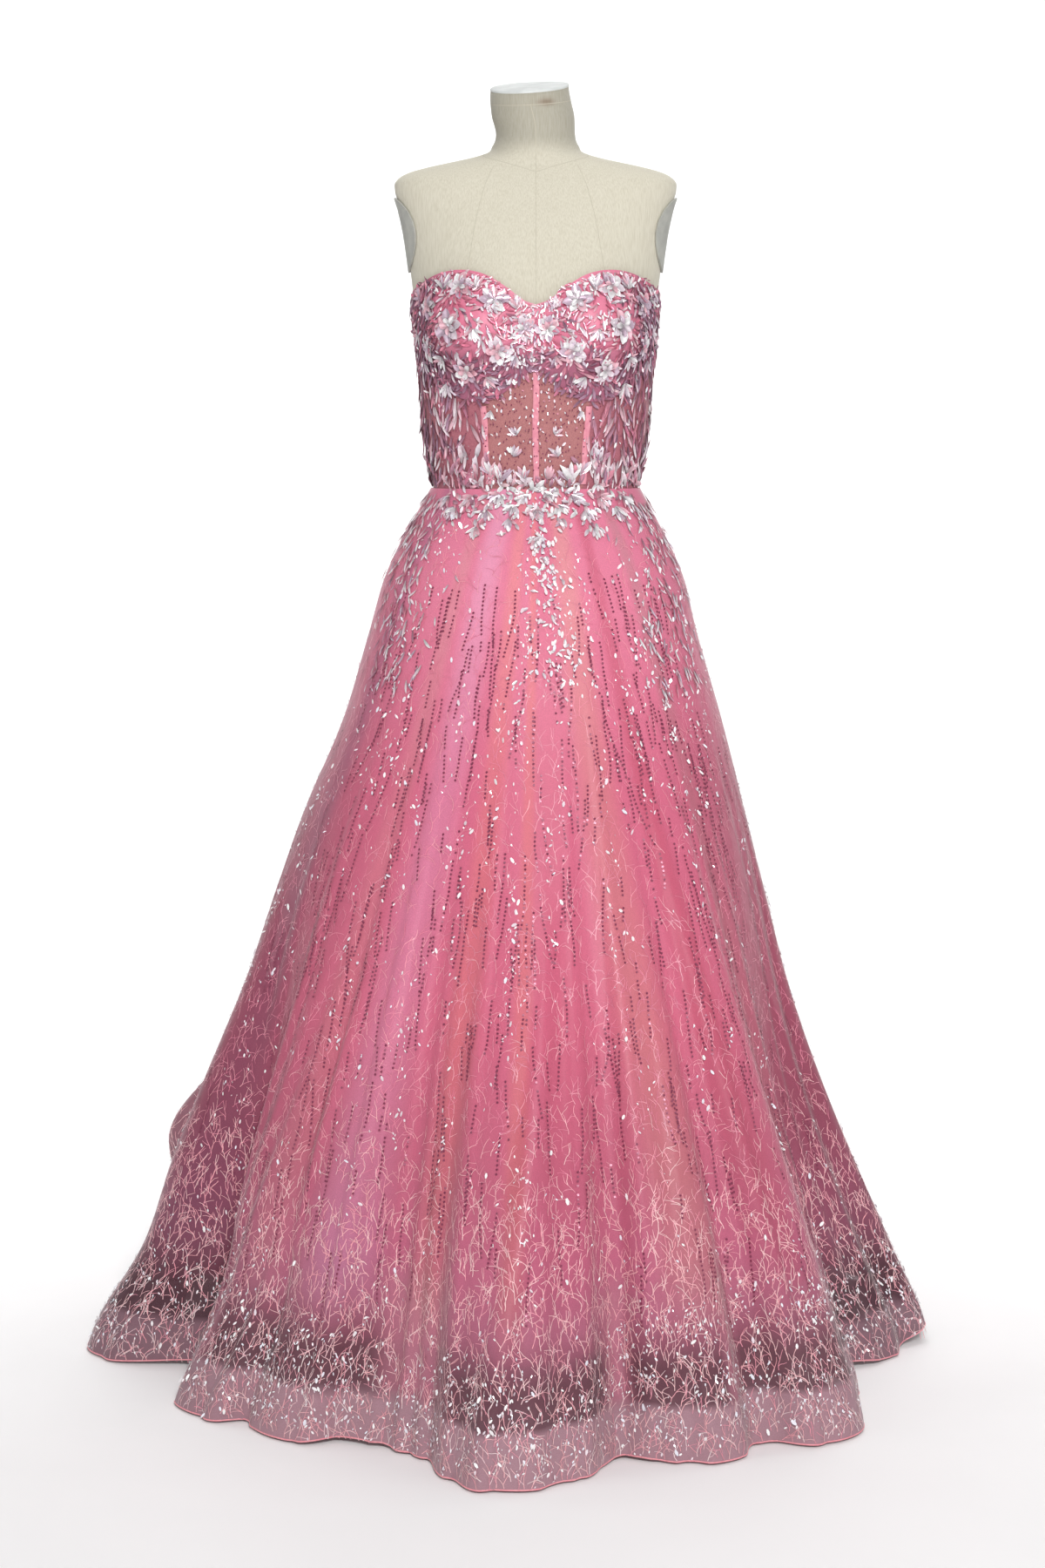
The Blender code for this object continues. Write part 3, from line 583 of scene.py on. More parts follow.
def net_tint(angle, z):
    """The net's colour: by height, dark above the hem as painted shade of the inside; greyer round
    the sides, partly painted shade; warmer or darker along some folds, partly painted light and shade.
    """
    heights = column(NET_TONES_AND_INSIDE_SHADE, "z")
    names = ("red", "green", "blue")
    tone = np.stack([np.interp(z, heights, column(NET_TONES_AND_INSIDE_SHADE, name)) for name in names], axis=-1)
    # Where the net lies close, the painted shade of the inside is left off
    close = sum(hump(angle, row.angle, row.half_width) for row in CLOSE_NET)
    close = np.clip(close, 0, 1) * smooth_step((CLOSE_NET_TOP_Z - z) / 0.05)
    close = close * smooth_step((z - CLOSE_NET_BASE_Z) / 0.02)
    tone = tone + close[..., None] * (np.array(CLOSE_NET_COLOUR) - tone)
    # Darker round the sides: partly the net's own tone, partly painted shade
    side = smooth_step((np.abs(turn_between(angle, 0.0)) - SIDE_SHADE_START) / SIDE_SHADE_WIDTH)
    low = smooth_step((SIDE_SHADE_TOP_Z - z) / 0.35)
    side = side * (SIDE_SHADE_AT_WAIST + (1 - SIDE_SHADE_AT_WAIST) * low)
    tone = tone * (1 - side[..., None] * (1 - np.array(SIDE_TONE_AND_SHADE)))
    way_down = 1 - z / WAIST_Z
    # Along the folds: partly the net's own tone, partly painted light and shade
    for band in FOLD_TONE_AND_SHADE_BANDS:
        centre = band.top_angle + (band.hem_angle - band.top_angle) * way_down
        share = hump(angle, centre, band.half_width) * smooth_step((z - FOLD_SHADE_BASE_Z) / 0.10)
        change = np.array([band.red, band.green, band.blue]) - 1
        tone = tone * (1 + share[..., None] * change)
    return np.clip(tone, 0.0, 1.0)


def flower_relief(angle, z):
    """Petals raised on a cup: each flower is a low dome with scalloped sides."""
    relief = 0.0 * angle
    for flower in FLOWERS:
        radius = body_radius(np.array(float(flower.angle)), np.array(flower.z))
        across = np.radians(np.abs(angle) - flower.angle) * radius
        up = z - flower.z
        scallop = 0.82 + 0.18 * np.cos(FLOWER_PETALS * np.arctan2(up, across))
        away = np.hypot(across, up) / (flower.radius * scallop)
        relief = np.maximum(relief, FLOWER_RISE * np.clip(1 - away**2, 0, 1) ** 0.5)
    return relief


def unit(vectors):
    return vectors / np.maximum(np.linalg.norm(vectors, axis=-1, keepdims=True), 1e-12)


def surface_axes(surface, angle, z):
    """Unit vectors to the right, up and outwards on a surface, as seen from outside."""
    turn, rise = 0.2, 0.0008
    right = unit(surface(angle + turn, z) - surface(angle - turn, z))
    up = surface(angle, z + rise) - surface(angle, z - rise)
    out = unit(np.cross(right, up))
    return right, np.cross(out, right), out


def moved_out(surface, distance):
    """The surface that lies a distance outside another."""

    def outside(angle, z):
        return surface(angle, z) + surface_axes(surface, angle, z)[2] * distance

    return outside


def cup_point(angle, z):
    """Outer side of a cup, with its flowers' petals raised."""
    out = surface_axes(body_point, angle, z)[2]
    lift = CUP_CLEARANCE + CUP_WALL + flower_relief(angle, z)
    return body_point(angle, z) + out * lift[..., None]


cup_surface = moved_out(body_point, CUP_CLEARANCE + CUP_WALL)
panel_surface = moved_out(body_point, FORM_CLEARANCE + BODICE_WALL)
over_panel = moved_out(panel_surface, 0.0010)


# Materials


def new_material(name, roughness, **inputs):
    """A Principled material, its values on the shader's own sockets."""
    made = bpy.data.materials.new(name)
    made.use_nodes = True
    shader = made.node_tree.nodes["Principled BSDF"]
    shader.inputs["Roughness"].default_value = roughness
    for key, value in inputs.items():
        shader.inputs[key.replace("_", " ")].default_value = value
    return made


def add_noise(made, scale, detail=2.0, stretch=(1, 1, 1)):
    """Noise in the piece's own coordinates, in cycles a metre."""
    nodes, links = made.node_tree.nodes, made.node_tree.links
    place_node = nodes.new("ShaderNodeTexCoord")
    mapping = nodes.new("ShaderNodeMapping")
    mapping.inputs["Scale"].default_value = stretch
    texture = nodes.new("ShaderNodeTexNoise")
    texture.inputs["Scale"].default_value = scale
    texture.inputs["Detail"].default_value = detail
    links.new(place_node.outputs["Object"], mapping.inputs["Vector"])
    links.new(mapping.outputs["Vector"], texture.inputs["Vector"])
    return texture.outputs["Fac"]


def add_weave(made, scale):
    """Two crossed waves of threads, as one height."""
    nodes, links = made.node_tree.nodes, made.node_tree.links
    place_node = nodes.new("ShaderNodeTexCoord")
    both = nodes.new("ShaderNodeMath")
    both.operation = "MULTIPLY"
    for slot, direction in enumerate(("DIAGONAL", "Z")):
        wave = nodes.new("ShaderNodeTexWave")
        wave.bands_direction = direction
        wave.inputs["Scale"].default_value = scale
        wave.inputs["Distortion"].default_value = 0.6
        links.new(place_node.outputs["Object"], wave.inputs["Vector"])
        links.new(wave.outputs["Fac"], both.inputs[slot])
    return both.outputs[0]


def add_ramp(made, factor, low, high, first, last):
    """Colours from low to high as the factor goes from first to last."""
    ramp = made.node_tree.nodes.new("ShaderNodeValToRGB")
    ramp.color_ramp.elements[0].position = first
    ramp.color_ramp.elements[1].position = last
    ramp.color_ramp.elements[0].color = (*low, 1)
    ramp.color_ramp.elements[1].color = (*high, 1)
    made.node_tree.links.new(factor, ramp.inputs["Fac"])
    return ramp.outputs["Color"]


def to_shader(made, output, socket):
    made.node_tree.links.new(output, made.node_tree.nodes["Principled BSDF"].inputs[socket])


def add_bump(made, height, strength, distance):
    bump = made.node_tree.nodes.new("ShaderNodeBump")
    bump.inputs["Strength"].default_value = strength
    bump.inputs["Distance"].default_value = distance
    made.node_tree.links.new(height, bump.inputs["Height"])
    to_shader(made, bump.outputs["Normal"], "Normal")


def add_tint(made, colour):
    """The points' own colour, multiplied by a colour that varies a little."""
    nodes, links = made.node_tree.nodes, made.node_tree.links
    tint = nodes.new("ShaderNodeAttribute")
    tint.attribute_name = "tint"
    mix = nodes.new("ShaderNodeMix")
    mix.data_type = "RGBA"
    mix.blend_type = "MULTIPLY"
    mix.inputs["Factor"].default_value = 1.0
    links.new(tint.outputs["Color"], mix.inputs["A"])
    links.new(colour, mix.inputs["B"])
    return mix.outputs["Result"]


def material(
    name, roughness, low, high, scale=None, detail=3, stretch=(1, 1, 1),
    span=(0.35, 0.65), bump=(0.1, 0.0001), weave=None, tinted=False, **inputs
):
    """A finish whose colour runs from low to high by noise, or by its weave where scale is
    None. Its bump is the weave if it has one, and else the same noise."""
    made = new_material(name, roughness, **inputs)
    threads = add_weave(made, weave) if weave else None
    shade = add_noise(made, scale, detail, stretch) if scale else threads
    colour = add_ramp(made, shade, low, high, *span)
    to_shader(made, add_tint(made, colour) if tinted else colour, "Base Color")
    add_bump(made, threads or shade, *bump)
    return made


# What the nets have in common, and what is the same for all that is sewn on them
NET = {"scale": 900, "detail": 1, "bump": (0.2, 0.0002), "Sheen_Weight": 0.15, "Specular_IOR_Level": 0.3}
SEWN = {"high": (1, 1, 1), "detail": 2, "span": (0.3, 0.7), "bump": (0.15, 0.0002), "tinted": True}

MATERIALS = {
    "canvas": material(
        "canvas_weave", 0.88, (0.55, 0.51, 0.405), (0.64, 0.605, 0.50), 60, stretch=(14, 14, 1),
        span=(0.30, 0.62), bump=(0.25, 0.0003), weave=420, tinted=True, Sheen_Weight=0.15,
    ),
    "seam": material("seam_thread", 0.85, (0.49, 0.455, 0.36), (0.55, 0.515, 0.415), 600),
    # The satin's pink runs in long bands, lighter and darker, up and down: painted sheen
    "satin": material(
        "pink_satin", 0.33, (0.78, 0.10, 0.22), (0.95, 0.21, 0.37), 14, 2, (1, 1, 0.12),
        span=(0.36, 0.64), weave=700, Anisotropic=0.4, Sheen_Weight=0.25,
    ),
    "strip": material("strip_satin", 0.30, (0.70, 0.235, 0.31), (0.80, 0.33, 0.40), 200),
    "net": material("embroidered_net", 0.46, (0.86,) * 3, (1, 1, 1), Alpha=0.80, tinted=True, **NET),
    "undernet": material("plain_net", 0.5, (0.66, 0.15, 0.25), (0.76, 0.23, 0.33), Alpha=0.45, **NET),
    "sheer": material("sheer_net", 0.5, (0.43, 0.155, 0.165), (0.54, 0.21, 0.215), Alpha=0.82, **NET),
    "petal_base": material("petal_ground", 0.40, (0.88,) * 3, (1, 1, 1), Alpha=1.0, tinted=True, **NET),
    "side_base": material("side_ground", 0.5, (0.38, 0.11, 0.15), (0.48, 0.16, 0.20), Alpha=0.90, **NET),
    "horsehair": material(
        "horsehair_braid", 0.38, (0.40, 0.24, 0.29), (0.66, 0.48, 0.53),
        span=(0.1, 0.7), bump=(0.3, 0.0003), weave=300, Alpha=0.80, Sheen_Weight=0.3,
    ),
    "thread": material("embroidery_thread", 0.36, (0.86,) * 3, scale=400, Sheen_Weight=0.3, **SEWN),
    "petal": material("foil_petals", 0.28, (0.80,) * 3, scale=260, Metallic=0.25, Coat_Weight=0.5, **SEWN),
    # Near-white sequins: partly their pearly colour, partly painted glints
    "clear": material("clear_sequins", 0.10, (0.94,) * 3, scale=500, Coat_Weight=1.0, **SEWN),
    # Dark sequins: partly their own maroon, partly painted dark reflection
    "dark": material("maroon_sequins_dark_reflection", 0.3, (0.19, 0.030, 0.070), (0.28, 0.055, 0.11), 500, Metallic=0.2),
    "piping": material("hem_piping", 0.45, (0.78, 0.27, 0.32), (0.86, 0.36, 0.40), 300),
    "board": material("white_board", 0.6, (0.62, 0.64, 0.63), (0.72, 0.74, 0.73), 40),
    # The arm plates' grey, darker than the canvas: partly their own colour, partly painted shade
    "plate": material("armhole_board", 0.6, (0.38, 0.38, 0.35), (0.45, 0.45, 0.41), 60),
    "steel": material("painted_steel", 0.4, (0.028, 0.028, 0.030), (0.04, 0.04, 0.042), 90, Metallic=0.3),
    "zip": material("zip_enamel", 0.3, (0.70, 0.36, 0.42), (0.78, 0.44, 0.50), 300, Metallic=0.6),
    "tape": material("zip_tape", 0.7, (0.66, 0.20, 0.30), (0.76, 0.28, 0.38), 500),
}


# Meshes


def add_piece(name, points, faces, look, replaces=(), tint=None, body=GOWN):
    """One piece of the gown or its form, on the body that carries it."""
    mesh = bpy.data.meshes.new(name)
    mesh.from_pydata(points.reshape(-1, 3), [], faces)
    mesh.materials.append(MATERIALS[look])
    mesh.shade_smooth()
    if tint is not None:
        colours = np.concatenate([tint, np.ones((len(tint), 1))], axis=1)
        layer = mesh.color_attributes.new("tint", "FLOAT_COLOR", "POINT")
        layer.data.foreach_set("color", colours.astype(np.float32).ravel())
    made = bpy.data.objects.new(name, mesh)
    bpy.context.scene.collection.objects.link(made)
    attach(made, body)
    if replaces:
        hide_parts(*replaces)
    return made


def grid_quads(rows, columns, closed=False):
    """Quads of a grid of points stored row by row, from the top down, seen from outside."""
    row, col = np.meshgrid(
        np.arange(rows - 1), np.arange(columns if closed else columns - 1), indexing="ij"
    )
    here = row * columns + col
    beside = row * columns + (col + 1) % columns
    return np.stack([here, here + columns, beside + columns, beside], axis=-1).reshape(-1, 4)


def repeated(faces, size, copies):
    """The faces of many copies of a shape whose points follow each other."""
    starts = np.arange(copies)[:, None, None] * size
    return (faces[None] + starts).reshape(-1, faces.shape[1])


def pick(colours, count, rng, spread=0.08):
    """A colour for each copy, from a short list, a little varied."""
    chosen = np.array(colours)[rng.integers(0, len(colours), count)]
    return np.clip(chosen * rng.uniform(1 - spread, 1 + spread, (count, 1)), 0, 1)


def chosen_colours(colours, count, rng):
    """Colours picked from a list, or the copies' own where there is one for each."""
    if isinstance(colours, np.ndarray):
        return colours
    return pick(colours, count, rng)


def pick_by(share, near, far, rng):
    """A colour for each copy, from the far list with the chance that its share gives."""
    far_one = rng.uniform(0, 1, len(share)) < share
    picked = pick(near, len(share), rng, 0.12)
    picked[far_one] = pick(far, int(far_one.sum()), rng, 0.12)
    return picked


def joined(parts):
    """Sets of points, faces and colours as one."""
    points, faces, tints, start = [], [], [], 0
    for part_points, part_faces, part_tint in parts:
        points.append(part_points)
        faces.append(part_faces + start)
        tints.append(part_tint)
        start += len(part_points)
    return np.concatenate(points), np.concatenate(faces), np.concatenate(tints)


# A petal: points across at places along it, and the share of its width there
PETAL_ALONG = np.array([0.0, 0.25, 0.55, 0.82, 1.0])
PETAL_WIDTH = np.array([0.25, 0.80, 1.00, 0.72, 0.06])
PETAL_ACROSS = np.array([-1.0, 0.0, 1.0])
# Share of a petal's colour along it: painted shade at its foot, painted highlight at its tip
PETAL_PAINTED_SHADE = np.repeat(np.array([0.55, 0.70, 0.95, 1.12, 1.20]), 3)[None, :, None]
PETAL_FACES = grid_quads(5, 3)
PETAL_CUP = 0.22


def petals(surface, angle, z, heading, length, width, lift, colours, rng):
    """Small cupped leaves on a surface, with painted shade at the foot and a painted highlight
    at the tip. Heading is from straight up.
    """
    count = len(angle)
    right, up, out = surface_axes(surface, angle, z)
    turn = np.radians(heading)[:, None]
    along = up * np.cos(turn) + right * np.sin(turn)
    side = np.cross(along, out)
    tip_up = rng.uniform(0.0, 0.16, count)[:, None, None, None]
    bend = rng.normal(0, 0.16, count)[:, None, None, None]
    v = PETAL_ALONG[None, :, None, None]
    u = PETAL_ACROSS[None, None, :, None]
    w = PETAL_WIDTH[None, :, None, None]
    reach, breadth = length[:, None, None, None], width[:, None, None, None]
    height = lift[:, None, None, None] + PETAL_CUP * breadth * u**2 * w
    height = height + reach * tip_up * v**2
    sideways = u * w * breadth * 0.5 + bend * reach * v**2
    points = (
        surface(angle, z)[:, None, None]
        + along[:, None, None] * (v * reach)
        + side[:, None, None] * sideways
        + out[:, None, None] * height
    )
    # Painted shade at each petal's foot, painted highlight at its tip
    tint = chosen_colours(colours, count, rng)[:, None, :] * PETAL_PAINTED_SHADE
    tint = np.clip(tint, 0, 1).reshape(-1, 3)
    return points.reshape(-1, 3), repeated(PETAL_FACES[:, ::-1], 15, count), tint


# Kinds of sewn leaf: length, width as a share of it, and height over the cloth
LeafKind = namedtuple("LeafKind", "shortest longest slimness lowest highest")
CUP_LEAF = LeafKind(0.009, 0.016, 0.28, 0.0003, 0.0018)
LONG_CUP_LEAF = LeafKind(0.014, 0.024, 0.17, 0.0006, 0.0020)
EDGE_PETAL = LeafKind(0.006, 0.009, 0.50, 0.0004, 0.0010)
SEAM_LEAF = LeafKind(0.011, 0.019, 0.34, 0.0004, 0.0016)
WAIST_LEAF = LeafKind(0.007, 0.014, 0.44, 0.0008, 0.0028)
HIP_LEAF = LeafKind(0.010, 0.020, 0.20, 0.0006, 0.0018)
TRAIL_LEAF = LeafKind(0.005, 0.009, 0.45, 0.0006, 0.0018)


def leaves(kind, surface, angle, z, heading, colours, rng, scale=1.0):
    """Leaves of one kind. Colours are a list, or a call that gives one for each leaf."""
    length = rng.uniform(kind.shortest, kind.longest, len(angle)) * scale
    lift = rng.uniform(kind.lowest, kind.highest, len(angle))
    picked = colours() if callable(colours) else colours
    return petals(surface, angle, z, heading, length, length * kind.slimness, lift, picked, rng)


def fan_petals(surface, fans, sign, colours, rng, width):
    """The leaves of fans, each spread about its heading."""
    angle, z, heading, length = [], [], [], []
    for fan in fans:
        for leaf in range(fan.leaves):
            share = leaf / (fan.leaves - 1) - 0.5
            angle.append(sign * fan.angle)
            z.append(fan.z)
            heading.append(sign * (fan.heading + fan.spread * share))
            length.append(fan.length * (1 - 0.5 * share**2) * rng.uniform(0.85, 1.1))
    angle, z, heading, length = map(np.array, (angle, z, heading, length))
    lift = rng.uniform(0.0010, 0.0024, len(angle))
    return petals(surface, angle, z, heading, length, length * width, lift, colours, rng)


# Rings of petals in a flower: share of its radius, and height over the cloth
PetalRing = namedtuple("PetalRing", "share petals lift")
PETAL_RINGS = named_rows(PetalRing, (1.0, 7, 0.0012), (0.62, 5, 0.0030))
ROUND_PETAL = 0.62


def rosettes(surface, flowers, sign, colours, rng):
    """Flowers of two rings of round petals."""
    parts = []
    for flower in flowers:
        for ring in PETAL_RINGS:
            heading = np.arange(ring.petals) * 360 / ring.petals + rng.uniform(0, 60)
            length = flower.radius * ring.share * rng.uniform(0.9, 1.1, ring.petals)
            same = np.ones(ring.petals)
            spot = sign * flower.angle * same, flower.z * same
            size = length, length * ROUND_PETAL, ring.lift * same
            parts.append(petals(surface, *spot, heading, *size, colours, rng))
    return joined(parts)


# Shapes of a sequin, as six points about its middle
SEQUIN_TURNS = np.radians(np.arange(6) * 60.0)
SEQUIN_FACES = np.arange(6)[None]
ROUND = np.stack([np.cos(SEQUIN_TURNS), np.sin(SEQUIN_TURNS)], axis=1)
FLAKE = ROUND * (0.66, 1.40)
SEQUIN_LIFT = 0.0011


def sequins_on(surface, angle, z, radius, tilt, colours, rng, shape=FLAKE):
    """Six-sided discs or flakes on a surface, each turned and tilted its own way."""
    right, up, out = surface_axes(surface, angle, z)
    centres = surface(angle, z)
    count = len(centres)
    lean = rng.normal(0, tilt, (count, 2))
    spin = rng.normal(0, 0.45, count)[:, None]
    side = unit(right + out * lean[:, :1])
    rise = unit(up + out * lean[:, 1:])
    side, rise = side * np.cos(spin) + rise * np.sin(spin), rise * np.cos(spin) - side * np.sin(spin)
    points = centres[:, None] + radius[:, None, None] * (
        side[:, None] * shape[None, :, :1] + rise[:, None] * shape[None, :, 1:]
    )
    points = points + out[:, None] * (radius * 0.30 + SEQUIN_LIFT)[:, None, None]
    tint = np.repeat(chosen_colours(colours, count, rng), 6, axis=0)
    return points.reshape(-1, 3), repeated(SEQUIN_FACES, 6, count), tint


def scattered(start, end, top, bottom, pitch, rng, radius=0.14):
    """Jittered places over a panel, about a pitch apart, as angles and heights."""
    step = math.degrees(pitch / radius)
    angles = np.arange(start + step * 0.5, end, step)
    found = []
    for angle in angles:
        high, low = float(top(np.array(angle))), float(bottom(np.array(angle)))
        heights = np.arange(low + pitch * 0.5, high, pitch)
        found += [(angle, height) for height in heights]
    found = np.array(found)
    found += rng.uniform(-0.5, 0.5, found.shape) * (step, pitch)
    return np.clip(found[:, 0], start, end), found[:, 1]


# Across a strip: share of its width, and of its height
ROOF = np.array(((-0.5, 0.3), (0.0, 1.0), (0.5, 0.3)))
FLAT = np.array(((-0.5, 1.0), (0.5, 1.0)))


def strip(line, out, width, lift, profile=ROOF):
    """A raised band along lines of points."""
    along = np.gradient(line, axis=-2)
    side = unit(np.cross(along, out))
    layers = [
        line + side * (across * width)[..., None] + out * (high * lift)[..., None]
        for across, high in profile
    ]
    points = np.stack(layers, axis=-2)
    lines = int(np.prod(line.shape[:-2]))
    count, across = line.shape[-2], len(profile)
    return points.reshape(-1, 3), repeated(grid_quads(count, across), across * count, lines)


def tube(path, radius, sides=6):
    """A round cord along a path of points."""
    along = unit(np.gradient(path, axis=0))
    side = unit(np.cross(along, np.array([0.0, 0.0, 1.0])))
    rise = np.cross(side, along)
    turns = np.arange(sides) * 2 * math.pi / sides
    points = path[:, None] + radius * (
        side[:, None] * np.cos(turns)[None, :, None] + rise[:, None] * np.sin(turns)[None, :, None]
    )
    return points.reshape(-1, 3), grid_quads(len(path), sides, closed=True)


# Sheets of cloth


def sheet_places(start, end, columns, tops, bottoms, rows):
    """Angles and heights of a grid between two seams, from its top to its hem."""
    angles = np.linspace(start, end, columns)
    z = tops(angles) + (bottoms(angles) - tops(angles)) * np.linspace(0, 1, rows)[:, None]
    return np.broadcast_to(angles, z.shape), z


def sheet_grid(surface, start, end, columns, tops, bottoms, rows):
    """Points of a single layer of cloth between two seams."""
    return surface(*sheet_places(start, end, columns, tops, bottoms, rows))


def add_sheet(name, grid, look, slot, node, held, rests_on, tint=None):
    """A sheet that replaces its solid. What it is told of its own cut is not used."""
    rows, columns = grid.shape[:2]
    made = add_piece(name, grid, grid_quads(rows, columns), look, (node,), tint)
    return made


ON_SHEET = {}


def add_on_sheet(sheet_name, name, parts, look, replaces=()):
    """Small shapes sewn on a sheet, as one mesh."""
    points, faces, tint = joined(parts)
    made = add_piece(name, points, faces, look, replaces, tint)
    ON_SHEET.setdefault(sheet_name, []).append(made)
    return made


# The form


# A brown mark on the neck, and the neck darker than the body
STAIN_ANGLE = 22.0
STAIN_Z = 1.5765
STAIN_REACH = 0.011
STAIN_COLOUR = (0.62, 0.50, 0.44)
NECK_SHADE = 0.68
NECK_BASE_Z = 1.500
NECK_RADIUS = 0.05


def canvas_tint(angle, z):
    """Share of the canvas's colour: darker on the neck, and brown at its mark."""
    neck = smooth_step((z - NECK_BASE_Z) / 0.030)
    tone = 1 - (1 - NECK_SHADE) * neck[..., None] * np.ones(3)
    across = np.radians(turn_between(angle, STAIN_ANGLE)) * NECK_RADIUS
    near = np.exp(-((across / STAIN_REACH) ** 2 + ((z - STAIN_Z) / (0.45 * STAIN_REACH)) ** 2))
    return tone * (1 - near[..., None] * (1 - np.array(STAIN_COLOUR)))


def neck_tilt(points):
    """Leans the top of the neck, more towards its cut end."""
    way_up = (points[..., 2] - NECK_TILT_START_Z) / (NECK_TOP_Z - NECK_TILT_START_Z)
    way_up = smooth_step(way_up)
    moved = points.copy()
    moved[..., 0] += way_up * NECK_SHIFT
    moved[..., 2] += way_up * NECK_TILT_FRONT * points[..., 1]
    moved[..., 2] += way_up * NECK_TILT_SIDE * points[..., 0]
    return moved


def tilted_body_point(angle, z):
    return neck_tilt(body_point(angle, z))


def make_form():
    """The canvas form, closed at the neck and under the hips, with its seams and neck board."""
    columns = FORM_COLUMNS
    angles = np.arange(columns) * 360.0 / columns
    levels = np.concatenate([np.linspace(*span) for span in FORM_SPANS])
    places = np.meshgrid(angles, levels)
    rings = tilted_body_point(*places)
    points = np.concatenate([rings.reshape(-1, 3), [rings[0].mean(axis=0), rings[-1].mean(axis=0)]])
    tint = np.concatenate([canvas_tint(*places).reshape(-1, 3), np.ones((2, 3))])
    around = np.arange(columns)
    beside = (around + 1) % columns
    last, middle = (len(levels) - 1) * columns, len(levels) * columns
    top = np.stack([np.full(columns, middle), around, beside], axis=1)
    base = np.stack([np.full(columns, middle + 1), last + beside, last + around], axis=1)
    faces = grid_quads(len(levels), columns, closed=True).tolist() + top.tolist() + base.tolist()
    add_piece("canvas_form", points, faces, "canvas", ("form_torso",), tint)
    make_form_seams()
    make_neck_cap()


def make_neck_cap():
    """The white board on the neck's cut end: a disc with a rounded rim."""
    columns = 96
    angles = np.arange(columns) * 360.0 / columns
    rim = tilted_body_point(angles, np.full(columns, NECK_TOP_Z))
    centre = rim.mean(axis=0)
    points = np.array([centre + (rim - centre) * share + (0, 0, up) for share, up in BOARD_PROFILE])
    faces = grid_quads(len(BOARD_PROFILE), columns, closed=True)
    add_piece("neck_board", points, faces, "board", ("neck_cap",))


def make_form_seams():
    """Seam lines of the canvas: centre, princess and back lines, and two round the neck."""
    way_up = np.linspace(0.0, 1.0, 90)
    sides = (-PRINCESS_ANGLE, PRINCESS_ANGLE, -BACK_DART_ANGLE, BACK_DART_ANGLE)
    tops = [(0.0, SEAM_TOP_Z), *((angle, SEAM_SHOULDER_Z) for angle in sides), (180.0, SEAM_TOP_Z)]
    lines = [(np.full(90, angle), SEAM_BASE_Z + (top - SEAM_BASE_Z) * way_up) for angle, top in tops]
    around = np.linspace(-180.0, 180.0, 181)
    point = NECK_SEAM_POINT * np.clip(1 - np.abs(around) / NECK_SEAM_REACH, 0, 1)
    lines += [(around, NECK_SEAM_Z - point), (around, np.full(181, NECK_BAND_Z))]
    parts = []
    for angle, z in lines:
        out = surface_axes(tilted_body_point, angle, z)[2]
        size = np.ones(len(angle))
        line = tilted_body_point(angle, z)
        points, faces = strip(line, out, size * SEAM_WIDTH, size * SEAM_RISE)
        parts.append((points, faces, np.ones((len(points), 3))))
    points, faces, _ = joined(parts)
    add_piece("canvas_seams", points, faces, "seam")


# The bodice


# The cups' ground is pink, turning dark mauve in its lower and outer part as painted shade
CUP_PINK = (0.84, 0.25, 0.37)
CUP_SHADE_MAUVE = (0.32, 0.10, 0.17)
CUP_SHADE_TOP_Z = 1.290
CUP_EDGE_MARGIN = 0.005
CUP_OUTER_ANGLE = 56.0
EDGE_PETALS = 44

# Close groups of clear flakes on each cup, as seen on the wearer's right and left
Cluster = namedtuple("Cluster", "angle z reach count")
CUP_CLUSTERS = named_rows(
    Cluster,
    (-17, 1.262, 0.011, 34),
    (-14, 1.23, 0.008, 16),
    (-24, 1.317, 0.009, 20),
    (-42, 1.345, 0.008, 14),
    (-48, 1.288, 0.008, 12),
    (-5, 1.292, 0.011, 20),
    (4, 1.3, 0.011, 18),
    (2, 1.262, 0.01, 20),
    (24, 1.272, 0.012, 36),
    (36, 1.298, 0.01, 30),
    (33, 1.344, 0.009, 20),
    (14, 1.318, 0.008, 16),
    (52, 1.27, 0.008, 14),
)


def clustered(clusters, start, end, rng):
    """Places of the flakes of those groups that lie between two angles."""
    angle, z = [], []
    for cluster in clusters:
        turn = math.degrees(cluster.reach / 0.15)
        angle.append(cluster.angle + rng.normal(0, turn, cluster.count))
        z.append(cluster.z + rng.normal(0, cluster.reach * 0.7, cluster.count))
    angle, z = np.concatenate(angle), np.concatenate(z)
    inside = (angle > start + 0.5) & (angle < end - 0.5)
    inside &= (z < top_edge(angle) - CUP_EDGE_MARGIN) & (z > cup_edge(angle) + 0.002)
    return angle[inside], z[inside]


def cup_shade_share(angle, z):
    """How far a place on a cup is in its lower and outer part, painted dark mauve as shade."""
    low = smooth_step((CUP_SHADE_TOP_Z - z) / 0.045)
    outer = smooth_step((np.abs(angle) - 42) / 28)
    return np.clip(0.12 + 0.70 * low + 0.55 * outer, 0, 0.95)


